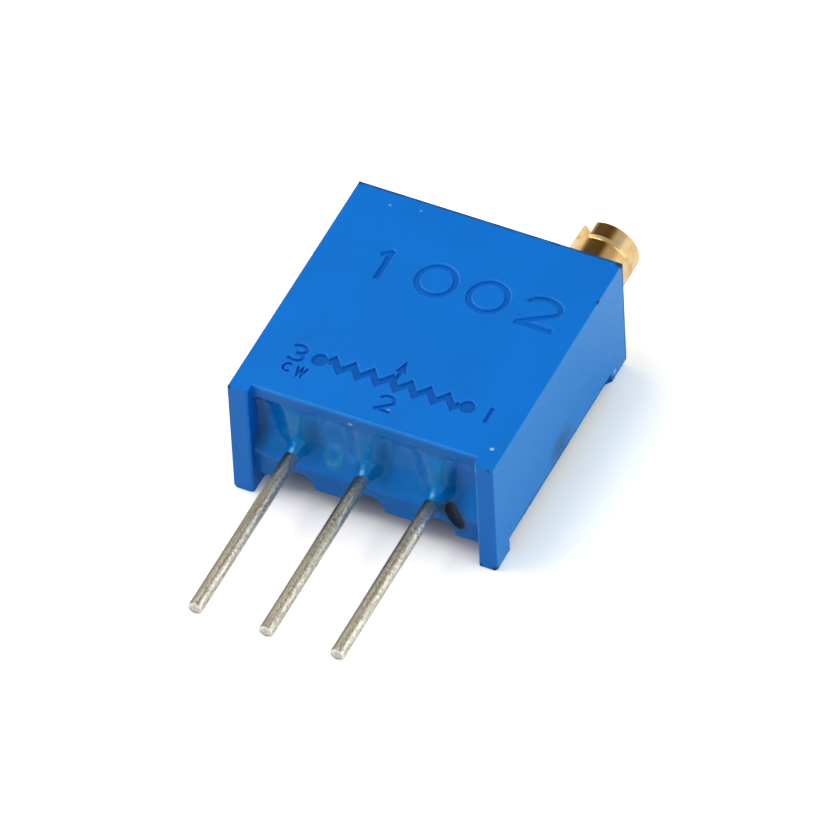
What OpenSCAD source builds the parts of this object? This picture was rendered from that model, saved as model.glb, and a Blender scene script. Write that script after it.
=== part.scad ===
// Multi-turn trimming potentiometer with three in-line pins and an end-adjust worm screw.
// Millimetres. The part lies on its rear pads, with its marked face up (+Z), its pin row along X and
// its pins pointing to -Y. The origin is on the middle pin's axis, in the seating plane of the feet.

/* [Body] */
// Width of the body across the pin row
body_w = 9.53; // [9:0.01:11.5]
// Length of the body from the seating plane of its feet to its far end
body_l = 10.03; // [9.7:0.01:12]
// Thickness from the marked face to the rear pads
body_t = 4.83; // [4.5:0.01:6]
// Thickness of the side walls
side_wall = 0.7; // [0.6:0.01:0.85]
// Thickness of the marked front wall
front_wall = 0.5; // [0.45:0.01:0.6]
// Thickness of the wall at the screw end
end_wall = 0.75; // [0.6:0.01:0.95]
// How far the side walls stand past the front and rear walls, as feet
foot_h = 0.38; // [0.2:0.01:0.5]
// Chamfer on the outer rear corner of each foot
foot_chamfer = 0.12; // [0.05:0.01:0.25]
// Chamfer on the outer rear corner of each rear pad at the screw end
far_pad_chamfer = 0.28; // [0.05:0.01:0.35]
// Height of the rear pads
pad_h = 0.66; // [0.4:0.01:0.75]
// Length of the rear pads at the pin end
near_pad_l = 0.95; // [0.6:0.01:2]
// Length of the rear pads at the screw end
far_pad_l = 1.13; // [0.6:0.01:2]
// Radius of the notch in the rear wall under each pin
notch_r = 0.55; // [0.3:0.01:0.6]
// Length of those notches
notch_l = 1.2; // [0.5:0.01:2]

/* [Pins] */
// Distance from pin to pin
pin_spacing = 2.54; // [2.3:0.01:2.7]
// Diameter of a pin
pin_d = 0.51; // [0.4:0.01:0.6]
// Free length of the pins beyond the feet
pin_free_l = 7.3; // [2.5:0.1:12]
// How far the round wire runs on behind the seating plane
pin_round_in = 0.35; // [0.3:0.01:0.5]
// Width of a pin's flattened inner end
tab_w = 0.72; // [0.6:0.01:0.8]
// Thickness of a pin's flattened inner end
tab_t = 0.28; // [0.2:0.01:0.35]

/* [Potting] */
// Depth of the potting's inner face behind the seating plane
potting_depth = 1.4; // [1.25:0.01:1.5]
// How far the potting lies below the edge of the front and rear walls
potting_sink = 0.05; // [0.02:0.01:0.15]
// Radius of the hollows between the pins
hollow_r = 0.78; // [0.5:0.01:0.85]
// Radius of the hollows beside the outer pins
side_hollow_r = 0.56; // [0.4:0.01:0.65]
// Depth of the hollows at the front wall
hollow_depth = 0.5; // [0.2:0.01:0.6]
// Slope with which the hollows run out towards the rear
hollow_slope = 12; // [8:0.5:20]
// Height that the potting climbs up a pin
meniscus_h = 0.5; // [0.3:0.01:0.7]
// Radius of the meniscus at its foot
meniscus_r = 0.62; // [0.45:0.01:0.8]
// Radius of the open bubble beside the first pin
void_r = 0.28; // [0.15:0.01:0.29]
// How far the bubble lies from the middle of that hollow, towards the pin
void_inward = 0.2; // [0.1:0.01:0.25]
// Depth of the bubble's middle below the potting's edge
void_depth = 0.1; // [0.05:0.01:0.2]
// Height of the bubble's middle above the rear wall
void_rise = 0.3; // [0.3:0.01:0.5]

/* [Adjusting screw] */
// Distance of the screw's axis from the side of the body
screw_side = 1.27; // [1.2:0.01:1.4]
// Distance of the screw's axis from the marked face
screw_front = 1.3; // [1.25:0.01:1.4]
// Diameter of the screw's head
head_d = 2.19; // [1.9:0.01:2.25]
// How far the head stands out of the body
head_out = 1.67; // [1:0.01:2.5]
// Width of the screwdriver slot
slot_w = 0.56; // [0.4:0.01:0.7]
// Depth of the screwdriver slot
slot_depth = 0.76; // [0.4:0.01:0.9]
// Direction of the slot, from +X towards +Z
slot_angle = 127; // [0:1:180]
// Edge chamfer of the head
head_chamfer = 0.06; // [0.02:0.01:0.12]
// Diameter of the journal that turns in the body
journal_d = 1.88; // [1.84:0.01:1.88]
// Length of the bore that the journal turns in
bore_l = 1.65; // [1.5:0.01:1.9]
// Diameter of the neck that the clip holds
neck_d = 1.1; // [0.9:0.01:1.2]
// Length of the collar between neck and worm
collar_l = 0.3; // [0.2:0.01:0.4]
// Diameter of that collar
collar_d = 1.78; // [1.7:0.01:1.8]
// Length of the plain tip past the worm
tip_l = 0.35; // [0.2:0.01:0.5]

/* [Seal and clip] */
// Section diameter of the seal ring
seal_d = 0.36; // [0.28:0.01:0.4]
// Distance of the seal's middle from the end of the body
seal_back = 0.95; // [0.5:0.01:1.2]
// Thickness of the retaining clip
clip_t = 0.26; // [0.2:0.01:0.3]
// Width of the retaining clip across its legs
clip_w = 1.66; // [1.55:0.01:1.75]
// Length of the retaining clip along its legs
clip_l = 1.7; // [1.5:0.01:1.75]

/* [Gear] */
// Teeth of the worm wheel, the turns of the screw to one turn of the wheel
wheel_teeth = 30; // [24:1:36]
// Pitch radius of the worm
worm_r = 0.75; // [0.7:0.01:0.78]
// Pressure angle of the teeth
pressure_angle = 20; // [18:0.5:22]
// Height of a tooth's root below the pitch circle, in modules
root_depth = 1.24; // [1.2:0.01:1.3]
// Width of the toothed rim
wheel_face = 0.9; // [0.7:0.01:1]
// Depth of the ring-shaped relief in the wheel's upper side
wheel_relief = 0.3; // [0.1:0.01:0.4]
// Width of the rim between that relief and the teeth
wheel_rim = 0.45; // [0.35:0.01:0.6]
// Radius of the wheel's thrust collar
collar_r = 1.25; // [1.1:0.01:1.4]
// Radius of the wheel's pivot
pivot_r = 0.85; // [0.6:0.01:1]
// Depth of the pivot's recess in the front wall
pivot_depth = 0.25; // [0.15:0.01:0.3]

/* [Element] */
// Thickness of the ceramic plate
ceramic_t = 0.635; // [0.5:0.005:0.7]
// Thickness of the printed layers
print_t = 0.015; // [0.01:0.001:0.03]
// Mean radius of the resistive track
track_r = 2.2; // [2:0.01:2.3]
// Width of the resistive track
track_w = 0.9; // [0.6:0.01:1]
// Angle that the wiper travels
travel_angle = 300; // [280:1:310]
// Radius of the collector's disc
collector_r = 0.6; // [0.4:0.01:0.8]
// Width of the printed conductors
trace_w = 0.3; // [0.2:0.01:0.35]
// Width of a pin's printed pad
print_pad_w = 1.1; // [1:0.01:1.3]
// Thickness of the wiper's spring sheet
wiper_t = 0.1; // [0.06:0.01:0.12]
// Width of the wiper's plate
wiper_w = 1.5; // [1.3:0.01:1.7]
// Radius of the pegs that hold the wiper
stake_r = 0.15; // [0.1:0.01:0.2]

/* [Marks] */
// Depth of the marks in the front face
mark_depth = 0.1; // [0.05:0.01:0.12]
// Stroke width of the resistance code
code_stroke = 0.17; // [0.1:0.01:0.25]
// Height of the code's figures
code_h = 1.32; // [0.8:0.01:1.5]
// Width of the code's figures
code_w = 1.35; // [0.8:0.01:1.5]
// Distance from figure to figure in the code
code_step = 1.87; // [1.6:0.01:2]
// Distance of the code's middle from the seating plane
code_y = 6.95; // [6:0.01:7.5]
// How far the code's middle lies to the right of the middle pin
code_x = 0.4; // [0:0.01:0.6]
// Stroke width of the pin numbers
mark_stroke = 0.12; // [0.08:0.01:0.15]
// Height of the pin numbers
number_h = 0.68; // [0.5:0.01:0.75]
// Stroke width of the resistor symbol
symbol_stroke = 0.24; // [0.15:0.01:0.26]
// Half the distance between the symbol's end dots
symbol_half = 2.65; // [2.3:0.01:2.7]
// Distance of the resistor symbol's middle from the seating plane
symbol_y = 2.26; // [2.2:0.01:2.6]
// How far the symbol's middle lies to the right of the middle pin
symbol_x = 0.14; // [0:0.01:0.2]

/* [Fits] */
// Radial clearance of the screw in its bore, channel and clip
turn_fit = 0.03; // [0.02:0.005:0.05]
// Clearance of the worm in its channel and of the wheel over the front wall
run_fit = 0.04; // [0.03:0.005:0.06]
// Clearance of the clip in its slot
clip_fit = 0.02; // [0.01:0.005:0.04]
// End play of the screw
end_play = 0.07; // [0.04:0.005:0.1]
// Play between the teeth
backlash = 0.05; // [0.04:0.005:0.07]
// Gap between the wheel's teeth and the housing's side wall
rim_gap = 0.3; // [0.2:0.01:0.4]
// Gap between the wheel's teeth and the wall at the screw end
wheel_end_gap = 0.52; // [0.4:0.01:0.6]
// Least gap between the wheel's teeth and the potting
wheel_pin_gap = 0.4; // [0.3:0.01:0.6]
// Gap past the inner end of the screw
tip_gap = 0.3; // [0.2:0.01:0.4]
// Clearance of the seal ring in its bore
seal_fit = 0.015; // [0.01:0.005:0.03]
// Gap between the wiper and the printed layers
wiper_gap = 0.02; // [0.01:0.005:0.03]
// Gap on both sides of the printed conductors that run across the plate
print_gap = 0.14; // [0.1:0.01:0.2]
// Clearance of the ceramic plate in the housing
plate_fit = 0.05; // [0.02:0.01:0.1]

/* [Hidden] */
$fn = 64;

// A short run past a face, so that a cut goes right through it
past = 0.2;
// Middle of the printed arc, the side of the wheel that faces away from the pins
arc_middle = 90;

// Layers, from the rear to the front
pin_r = pin_d / 2;
front_z = body_t / 2;
rear_z = -body_t / 2;
wall_rear_z = rear_z + pad_h;
print_z = -pin_r;
ceramic_top = print_z - print_t;
ceramic_z = ceramic_top - ceramic_t;
cavity_top = front_z - front_wall;

// Plan of the cavity
side_x = body_w / 2;
cavity_x = side_x - side_wall;
cavity_end = body_l - end_wall;
potting_y = foot_h + potting_sink;

// Screw
screw_x = side_x - screw_side;
screw_z = front_z - screw_front;
head_r = head_d / 2;
journal_r = journal_d / 2;
neck_r = neck_d / 2;
bore_r = journal_r + turn_fit;
head_y = body_l + end_play;
head_l = head_out - end_play;

// Worm and wheel: the wheel fills the room across the body or along it, whichever is less
room_across = screw_x - worm_r + cavity_x - rim_gap;
room_along = cavity_end - wheel_end_gap - potting_depth - wheel_pin_gap;
wheel_r = min(room_across / (2 + 2 / wheel_teeth), room_along / (2 + 4 / wheel_teeth));
tooth_module = 2 * wheel_r / wheel_teeth;
worm_pitch = PI * tooth_module;
lead_angle = atan(worm_pitch / (2 * PI * worm_r));
addendum = tooth_module;
dedendum = root_depth * tooth_module;
worm_tip_r = worm_r + addendum;
worm_root_r = worm_r - dedendum;
wheel_tip_r = wheel_r + addendum;
wheel_root_r = wheel_r - dedendum;
wheel_x = screw_x - worm_r - wheel_r;
wheel_y = cavity_end - wheel_end_gap - wheel_tip_r;
wheel_z = screw_z - wheel_face / 2;
wheel_top = screw_z + wheel_face / 2;
channel_r = worm_tip_r + run_fit;

// Screw, from the worm out to the clip
thread_runout = 0.25;
mesh_half = sqrt(pow(wheel_tip_r, 2) - pow(wheel_r + worm_r - worm_tip_r, 2));
thread_half = mesh_half + thread_runout;
tip_y = wheel_y - thread_half - tip_l;
slot_floor_y = body_l - bore_l;
clip_y = slot_floor_y - clip_fit - clip_t;
slot_mouth_y = clip_y - clip_fit;
neck_end_y = clip_y + clip_t + end_play;
neck_y = clip_y - end_play;
collar_y = neck_y - collar_l;
channel_y = tip_y - tip_gap;

// Block that carries the journal and the clip
block_lip = 0.25;
block_wall = 0.37;
block_y = slot_mouth_y - block_lip;
block_x = screw_x - bore_r - block_wall;
block_z = screw_z - bore_r - block_wall / 4;

// Seal
seal_r = seal_d / 2;
seal_ring_r = bore_r - seal_fit - seal_r;
seal_y = body_l - seal_back;

// Pins and their solder
terminal_x = [pin_spacing, 0, -pin_spacing];
tab_z = -pin_r;
solder_from_potting = 0.1;
solder_y = potting_depth + solder_from_potting;
solder_r = 0.5;
solder_past_tab = 0.12;
pad_margin = 0.05;

// Ceramic plate, and the pads of the pins on it
print_pad_y = potting_depth;
track_foot_y = wheel_y - (track_r + track_w / 2) * sin(travel_angle / 2 - 90);
lead_y = track_foot_y - print_gap - trace_w / 2;
print_pad_end = lead_y - trace_w / 2 - print_gap;
tab_y = print_pad_end - pad_margin - solder_past_tab;
plate_sunk_in_potting = 0.35;
ceramic_y = potting_y + plate_sunk_in_potting;

// Wiper, in the plane through its middle: x runs outwards from the wheel's axis
wiper_top = wheel_z;
wiper_mid = wiper_top - wiper_t / 2;
contact_z = print_z + wiper_gap + wiper_t / 2;
plate_out = 1.45;
plate_in = -0.95;
stake_at = 0.9;
stake_side = 0.45;
stake_head_r = 1.6 * stake_r;
stake_head_t = 0.08;

// ---------------------------------------------------------------- plane curves

// Points of an arc of an ellipse, n steps from angle a to angle b
function arc(centre, size, a, b, n) = [
    for (i = [0:n]) let (t = a + (b - a) * i / n) centre + [size.x * cos(t), size.y * sin(t)]
];

// Unit vector square to the path at its point i
function across(path, i) =
    let (
        last = len(path) - 1,
        ahead = path[min(i + 1, last)] - path[i],
        behind = path[i] - path[max(i - 1, 0)],
        run = (i == last ? behind : ahead / norm(ahead)) + (i == 0 ? ahead : behind / norm(behind))
    )
    [-run.y, run.x] / norm(run);

// How far the corner at point i of a path carries its edge out
function mitre(path, i) =
    i == 0 || i == len(path) - 1
        ? 1
        : let (n = across(path, i), d = path[i + 1] - path[i]) norm(d) / abs(n.x * d.y - n.y * d.x);

// Outline of a ribbon of width w along a path
function ribbon(path, w) = concat(
    [for (i = [0:len(path) - 1]) path[i] + across(path, i) * mitre(path, i) * w / 2],
    [for (i = [len(path) - 1:-1:0]) path[i] - across(path, i) * mitre(path, i) * w / 2]
);

// A path in a cell of one by one, drawn at size [w, h] about its middle
function in_cell(path, size) = [for (p = path) [(p.x - 0.5) * size.x, (p.y - 0.5) * size.y]];

// Strokes of the figures, each a path in a cell of one by one
ONE = [[[0.5, 0], [0.5, 1]], [[0.52, 0.98], [0.28, 0.8]]];
PLAIN_ONE = [[[0.5, 0], [0.5, 1]]];
TWO = [
    concat(arc([0.5, 0.72], [0.44, 0.28], 165, -35, 10), [[0.04, 0.04]]),
    [[0, 0.04], [1, 0.04]]
];
THREE = [
    arc([0.5, 0.75], [0.44, 0.25], 150, -100, 12),
    arc([0.5, 0.26], [0.46, 0.26], 100, -150, 12)
];
NOUGHT = [arc([0.5, 0.5], [0.48, 0.5], 0, 184, 14), arc([0.5, 0.5], [0.48, 0.5], 180, 364, 14)];
LETTER_C = [arc([0.5, 0.5], [0.45, 0.5], 50, 310, 12)];
LETTER_W = [[[0, 1], [0.27, 0], [0.5, 0.8], [0.73, 0], [1, 1]]];

// ---------------------------------------------------------------- marks

// Sinks the strokes of one figure into the front face, about the point [x, y]
module figure(strokes, at, size, stroke) {
    for (path = strokes)
        translate([at.x, at.y, front_z - mark_depth])
            linear_extrude(mark_depth + past)
                polygon(ribbon(in_cell(path, size), stroke));
}

// Resistor symbol: a zig-zag between two dots, crossed by the wiper's arrow
module resistor_symbol() {
    peaks = 7;
    swing = 0.2;
    dot_r = 0.27;
    reach = symbol_half - dot_r;
    zigzag = concat(
        [[-reach, 0]],
        [for (i = [0:2 * peaks - 1]) [reach * ((i + 0.5) / peaks - 1), i % 2 == 0 ? swing : -swing]],
        [[reach, 0]]
    );
    arrow_foot = 0.54;
    arrow_tip = 1.03;
    arrow_half = 0.19;
    arrow = [[-arrow_half, arrow_foot], [arrow_half, arrow_foot], [0, arrow_tip]];
    translate([symbol_x, symbol_y, front_z - mark_depth]) {
        linear_extrude(mark_depth + past) polygon(ribbon(zigzag, symbol_stroke));
        for (side = [-1, 1])
            translate([side * symbol_half, 0, 0]) cylinder(h = mark_depth + past, r = dot_r);
        linear_extrude(mark_depth + past) polygon(arrow);
        translate([-mark_stroke / 2, 0, 0]) cube([mark_stroke, arrow_foot + past, mark_depth + past]);
    }
}

module marks() {
    code = [ONE, NOUGHT, NOUGHT, TWO];
    number = number_h * [0.85, 1];
    letter = number_h * [0.5, 0.5];
    letter_stroke = 0.7 * mark_stroke;
    row = [symbol_x, symbol_y];
    for (i = [0:len(code) - 1]) {
        x = code_x + (i - (len(code) - 1) / 2) * code_step;
        figure(code[i], [x, code_y], [code_w, code_h], code_stroke);
    }
    figure(THREE, row + [-symbol_half - 0.8, 0], number, mark_stroke);
    figure(TWO, row + [0.14, -0.92], number, mark_stroke);
    figure(PLAIN_ONE, row + [symbol_half + 0.8, -0.06], number, mark_stroke);
    figure(LETTER_C, row + [-symbol_half - 0.82, -0.7], letter, letter_stroke);
    figure(LETTER_W, row + [-symbol_half - 0.34, -0.7], letter, letter_stroke);
    resistor_symbol();
}

// ---------------------------------------------------------------- housing

// A cylinder along the screw's axis, from y0 to y1
module along_screw(y0, y1, r) {
    translate([screw_x, y0, screw_z]) rotate([-90, 0, 0]) cylinder(h = y1 - y0, r = r);
}

// A cutter for the chamfer on a side wall's outer rear corner, from y0 to y1
module wall_chamfer(y0, y1, size) {
    translate([side_x, (y0 + y1) / 2, rear_z]) rotate([0, 45, 0])
        cube([size * sqrt(2), y1 - y0, size * sqrt(2)], center = true);
}

// Side walls, which stand past the rest as feet, with a chamfer on the outer rear corner
module side_walls() {
    for (side = [0, 1]) mirror([side, 0, 0])
        difference() {
            translate([cavity_x, 0, rear_z]) cube([side_wall, body_l, body_t]);
            translate([cavity_x - past, near_pad_l, rear_z - past])
                cube([side_wall + 2 * past, body_l - near_pad_l - far_pad_l, pad_h + past]);
            wall_chamfer(-past, near_pad_l + past, foot_chamfer);
            wall_chamfer(body_l - far_pad_l - past, body_l + past, far_pad_chamfer);
        }
}

// Ring of wall between the side walls, open at the pin end
module shell() {
    difference() {
        translate([-cavity_x, foot_h, wall_rear_z])
            cube([2 * cavity_x, body_l - foot_h, front_z - wall_rear_z]);
        translate([-cavity_x - past, foot_h - past, ceramic_z])
            cube([2 * (cavity_x + past), cavity_end - foot_h + past, cavity_top - ceramic_z]);
    }
}

// Block that carries the screw's journal and the clip
module screw_block() {
    translate([block_x, block_y, block_z])
        cube([cavity_x - block_x, cavity_end - block_y, cavity_top - block_z]);
}

// Slot that the clip slides into from the cavity
module clip_slot() {
    slot_x = block_x - past;
    slot_l = screw_x + clip_l / 2 + clip_fit - slot_x;
    translate([slot_x, slot_mouth_y, screw_z - clip_w / 2 - clip_fit])
        cube([slot_l, clip_t + 2 * clip_fit, clip_w + 2 * clip_fit]);
}

module housing() {
    color("#1278D8")
    difference() {
        union() {
            side_walls();
            shell();
            screw_block();
        }
        along_screw(slot_floor_y, body_l + past, bore_r);
        along_screw(channel_y, slot_mouth_y + past, channel_r);
        clip_slot();
        translate([wheel_x, wheel_y, cavity_top - past])
            cylinder(h = pivot_depth + past, r = pivot_r + run_fit);
        for (x = terminal_x) translate([x, foot_h - past, wall_rear_z])
            rotate([-90, 0, 0]) cylinder(h = notch_l + past, r = notch_r);
        marks();
    }
}

// ---------------------------------------------------------------- potting

// Hollow between two pins, a sloping flute that is deepest at the front wall
module hollow(x, r) {
    translate([x, potting_y - r + hollow_depth, cavity_top]) rotate([-hollow_slope, 0, 0])
        translate([0, 0, -body_t]) cylinder(h = body_t + past, r = r);
}

// Round climb of the potting up a pin, a bell with a hollow flank
module meniscus(x) {
    rim_t = 0.05;
    root_l = 0.3;
    top_r = pin_r + rim_t;
    steps = 6;
    flank = [
        for (i = [0:steps]) let (t = i / steps)
            [top_r + (meniscus_r - top_r) * pow(t, 2), -meniscus_h * (1 - t)]
    ];
    translate([x, potting_y, 0]) rotate([-90, 0, 0])
        rotate_extrude() polygon(concat([[0, -meniscus_h]], flank, [[meniscus_r, root_l], [0, root_l]]));
}

// The pin's own shape, as it passes through the potting
module pin_solid(x) {
    translate([x, -pin_free_l, 0]) rotate([-90, 0, 0]) cylinder(h = pin_free_l + pin_round_in, r = pin_r);
    translate([x - tab_w / 2, pin_round_in, tab_z]) cube([tab_w, tab_y - pin_round_in, tab_t]);
}

module potting_compound() {
    outer_hollow_x = (cavity_x + pin_spacing) / 2;
    bubble = [outer_hollow_x - void_inward, potting_y + void_depth, ceramic_z + void_rise];
    color("#1A5A9C")
    difference() {
        union() {
            difference() {
                translate([-cavity_x, potting_y, ceramic_z])
                    cube([2 * cavity_x, potting_depth - potting_y, cavity_top - ceramic_z]);
                for (side = [-1, 1]) {
                    hollow(side * pin_spacing / 2, hollow_r);
                    hollow(side * outer_hollow_x, side_hollow_r);
                }
            }
            for (x = terminal_x) meniscus(x);
        }
        for (x = terminal_x) pin_solid(x);
        plate_solid();
        translate(bubble) sphere(r = void_r);
    }
}

// ---------------------------------------------------------------- screw

// One-start right-hand thread, as a closed strip wound round the screw's axis
module worm_thread() {
    steps = 24;
    turns = 2 * thread_half / worm_pitch;
    count = round(steps * turns);
    sunk = 0.08;
    inner_r = worm_root_r - sunk;
    half_at_pitch = worm_pitch / 4 - backlash / 4;
    slope = tan(pressure_angle);
    section = [
        [inner_r, -half_at_pitch - (worm_r - inner_r) * slope],
        [worm_tip_r, -half_at_pitch + addendum * slope],
        [worm_tip_r, half_at_pitch - addendum * slope],
        [inner_r, half_at_pitch + (worm_r - inner_r) * slope]
    ];
    // Angles run from +Z towards +X, and a crest crosses the wheel's middle plane at -90 degrees
    points = [
        for (i = [0:count], p = section)
            let (turn = (i - count / 2) * 360 / steps)
            [p.x * sin(turn - 90), p.y + worm_pitch * turn / 360, p.x * cos(turn - 90)]
    ];
    // Each face runs clockwise as seen from outside
    sides = [
        for (i = [0:count - 1], k = [0:3])
            let (a = 4 * i + k, b = 4 * i + (k + 1) % 4)
            each [[a, b, b + 4], [a, b + 4, a + 4]]
    ];
    ends = [[3, 2, 1, 0], [for (k = [0:3]) 4 * count + k]];
    translate([screw_x, wheel_y, screw_z]) polyhedron(points, concat(sides, ends));
}

// Head with a chamfered rim
module head() {
    translate([screw_x, head_y, screw_z]) rotate([-90, 0, 0])
        rotate_extrude() polygon([
            [0, 0],
            [head_r, 0],
            [head_r, head_l - head_chamfer],
            [head_r - head_chamfer, head_l],
            [0, head_l]
        ]);
}

module adjusting_screw() {
    groove_fit = 0.005;
    color("#C49A40")
    difference() {
        union() {
            worm_thread();
            along_screw(tip_y, collar_y + past, worm_root_r);
            along_screw(collar_y, neck_y, collar_d / 2);
            along_screw(neck_y - past, neck_end_y + past, neck_r);
            along_screw(neck_end_y, head_y + past, journal_r);
            head();
        }
        translate([screw_x, body_l + head_out - slot_depth, screw_z]) rotate([0, -slot_angle, 0])
            translate([-head_d, 0, -slot_w / 2]) cube([2 * head_d, slot_depth + past, slot_w]);
        difference() {
            along_screw(seal_y - seal_r - run_fit, seal_y + seal_r + run_fit, head_d);
            along_screw(seal_y - seal_d, seal_y + seal_d, seal_ring_r - seal_r - groove_fit);
        }
    }
}

module screw_seal() {
    color("#202020")
    translate([screw_x, seal_y, screw_z]) rotate([-90, 0, 0])
        rotate_extrude() translate([seal_ring_r, 0]) circle(r = seal_r);
}

// Horseshoe whose legs straddle the screw's neck, open towards the side wall
module retaining_clip() {
    color("#B8BCC0")
    difference() {
        translate([screw_x - clip_l / 2, clip_y, screw_z - clip_w / 2]) cube([clip_l, clip_t, clip_w]);
        along_screw(clip_y - past, clip_y + clip_t + past, neck_r + turn_fit);
        translate([screw_x, clip_y - past, screw_z - neck_r - turn_fit])
            cube([clip_l, clip_t + 2 * past, 2 * (neck_r + turn_fit)]);
    }
}

// ---------------------------------------------------------------- wheel and wiper

// Angle between a tooth's flank and its middle, at radius r: an involute of the base circle
function involute(angle) = tan(angle) * 180 / PI - angle;
function flank_angle(r) =
    let (
        base_r = wheel_r * cos(pressure_angle),
        lean = r > base_r ? acos(base_r / r) : 0,
        play = backlash / 4 / wheel_r * 180 / PI
    )
    90 / wheel_teeth - play + involute(pressure_angle) - involute(lean);

module wheel_tooth() {
    steps = 4;
    base_r = wheel_r * cos(pressure_angle);
    sunk = 0.1;
    radii = concat(
        [wheel_root_r - sunk],
        [for (i = [0:steps]) base_r + (wheel_tip_r - base_r) * i / steps]
    );
    flank = [for (r = radii) r * [cos(flank_angle(r)), sin(flank_angle(r))]];
    under = [for (i = [len(flank) - 1:-1:0]) [flank[i].x, -flank[i].y]];
    rotate([-lead_angle, 0, 0]) translate([0, 0, -wheel_face])
        linear_extrude(2 * wheel_face) polygon(concat(flank, under));
}

// A peg through the wiper's plate, with the head that staking gives it
module stake(x, y) {
    translate([x, y, wiper_top - wiper_t - stake_head_t]) {
        cylinder(h = wiper_t + stake_head_t + past, r = stake_r);
        cylinder(h = stake_head_t, r = stake_head_r);
    }
}

module worm_wheel() {
    color("#E8E6DC")
    translate([wheel_x, wheel_y, 0])
        union() {
            translate([0, 0, screw_z]) intersection() {
                for (i = [0:wheel_teeth - 1]) rotate([0, 0, (i + 0.5) * 360 / wheel_teeth]) wheel_tooth();
                cylinder(h = wheel_face, r = 2 * wheel_r, center = true);
            }
            difference() {
                translate([0, 0, wheel_z]) cylinder(h = wheel_face, r = wheel_root_r);
                translate([0, 0, wheel_top - wheel_relief]) difference() {
                    cylinder(h = wheel_relief + past, r = wheel_root_r - wheel_rim);
                    translate([0, 0, -past]) cylinder(h = wheel_relief + 3 * past, r = collar_r);
                }
            }
            translate([0, 0, wheel_top - past]) {
                cylinder(h = cavity_top - run_fit - wheel_top + past, r = collar_r);
                cylinder(h = cavity_top + pivot_depth - run_fit - wheel_top + past, r = pivot_r);
            }
            for (side = [-1, 1]) stake(side * stake_side, stake_at);
        }
}

// A bent strip of spring sheet: straight runs with round bends, drawn in the plane of its path
module bent_strip(path, w) {
    rotate([90, 0, 90]) linear_extrude(w, center = true) {
        for (i = [0:len(path) - 2]) {
            run = path[i + 1] - path[i];
            translate(path[i]) rotate(atan2(run.y, run.x))
                translate([0, -wiper_t / 2]) square([norm(run), wiper_t]);
        }
        for (p = path) translate(p) circle(d = wiper_t);
    }
}

// Spring contact: three fingers on the track and one folded back to the collector
module wiper_contact() {
    fingers = 3;
    finger_w = 0.2;
    finger_step = 0.3;
    arm_w = 0.5;
    root = 0.1;
    touch = 0.12;
    lift = 0.14;
    fold = 0.2;
    out_path = [
        [plate_out - root, wiper_mid],
        [track_r - touch / 2, contact_z],
        [track_r + touch / 2, contact_z],
        [track_r + touch / 2 + lift, contact_z + lift]
    ];
    in_path = [
        [plate_in, wiper_mid],
        [plate_in, wiper_mid - fold],
        [-touch, contact_z],
        [touch / 2, contact_z],
        [touch / 2 + lift, contact_z + lift]
    ];
    color("#D8C890")
    translate([wheel_x, wheel_y, 0])
        difference() {
            union() {
                translate([-wiper_w / 2, plate_in, wiper_top - wiper_t])
                    cube([wiper_w, plate_out - plate_in, wiper_t]);
                for (i = [0:fingers - 1])
                    translate([(i - (fingers - 1) / 2) * finger_step, 0, 0]) bent_strip(out_path, finger_w);
                bent_strip(in_path, arm_w);
            }
            for (side = [-1, 1]) translate([side * stake_side, stake_at, wiper_top - wiper_t - past])
                cylinder(h = wiper_t + 2 * past, r = stake_r);
        }
}

// ---------------------------------------------------------------- element

module plate_solid() {
    translate([-cavity_x + plate_fit, ceramic_y, ceramic_z])
        cube([2 * (cavity_x - plate_fit), cavity_end - plate_fit - ceramic_y, ceramic_t]);
}

module ceramic_substrate() {
    color("#F2F0E8") plate_solid();
}

// A printed sector of a ring about the wheel's axis, from angle a to angle b
module printed_arc(a, b, r, w) {
    translate([wheel_x, wheel_y, ceramic_top]) rotate([0, 0, a])
        rotate_extrude(angle = b - a) translate([r - w / 2, 0]) square([w, print_t]);
}

// A printed line from point a to point b
module trace(a, b) {
    run = b - a;
    translate([a.x, a.y, ceramic_top]) rotate([0, 0, atan2(run.y, run.x)])
        translate([0, -trace_w / 2, 0]) cube([norm(run), trace_w, print_t]);
}

// A pin's printed pad
module print_pad(x) {
    translate([x - print_pad_w / 2, print_pad_y, ceramic_top])
        cube([print_pad_w, print_pad_end - print_pad_y, print_t]);
}

module resistive_track() {
    half = travel_angle / 2;
    color("#2A2622") printed_arc(arc_middle - half, arc_middle + half, track_r, track_w);
}

// Conductor from one end of the track to its pin's pad, on the side that s gives
module end_print(s) {
    end = arc_middle - s * travel_angle / 2;
    land = 12;
    from = [wheel_x, wheel_y] + track_r * [cos(end - s * land / 2), sin(end - s * land / 2)];
    color("#C8C8C4") union() {
        printed_arc(min(end, end - s * land), max(end, end - s * land), track_r, track_w);
        trace(from, [from.x, lead_y]);
        trace([from.x - s * trace_w / 2, lead_y], [s * (pin_spacing + trace_w / 2), lead_y]);
        trace([s * pin_spacing, lead_y], [s * pin_spacing, print_pad_end - trace_w]);
        print_pad(s * pin_spacing);
    }
}

module collector_print() {
    color("#C8C8C4") union() {
        translate([wheel_x, wheel_y, ceramic_top]) cylinder(h = print_t, r = collector_r);
        trace([wheel_x, wheel_y], [wheel_x, print_pad_end - trace_w]);
        print_pad(0);
    }
}

// Solder over a pin's flattened end, a low mound on its pad
module solder_joint(x) {
    mound_l = tab_y + solder_past_tab - solder_y;
    color("#C4C6C8")
    difference() {
        translate([x, solder_y, print_z]) rotate([-90, 0, 0]) cylinder(h = mound_l, r = solder_r);
        translate([x - 2 * solder_r, solder_y - past, print_z - 2 * solder_r])
            cube([4 * solder_r, mound_l + 2 * past, 2 * solder_r]);
        pin_solid(x);
    }
}

// ---------------------------------------------------------------- pins

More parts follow.
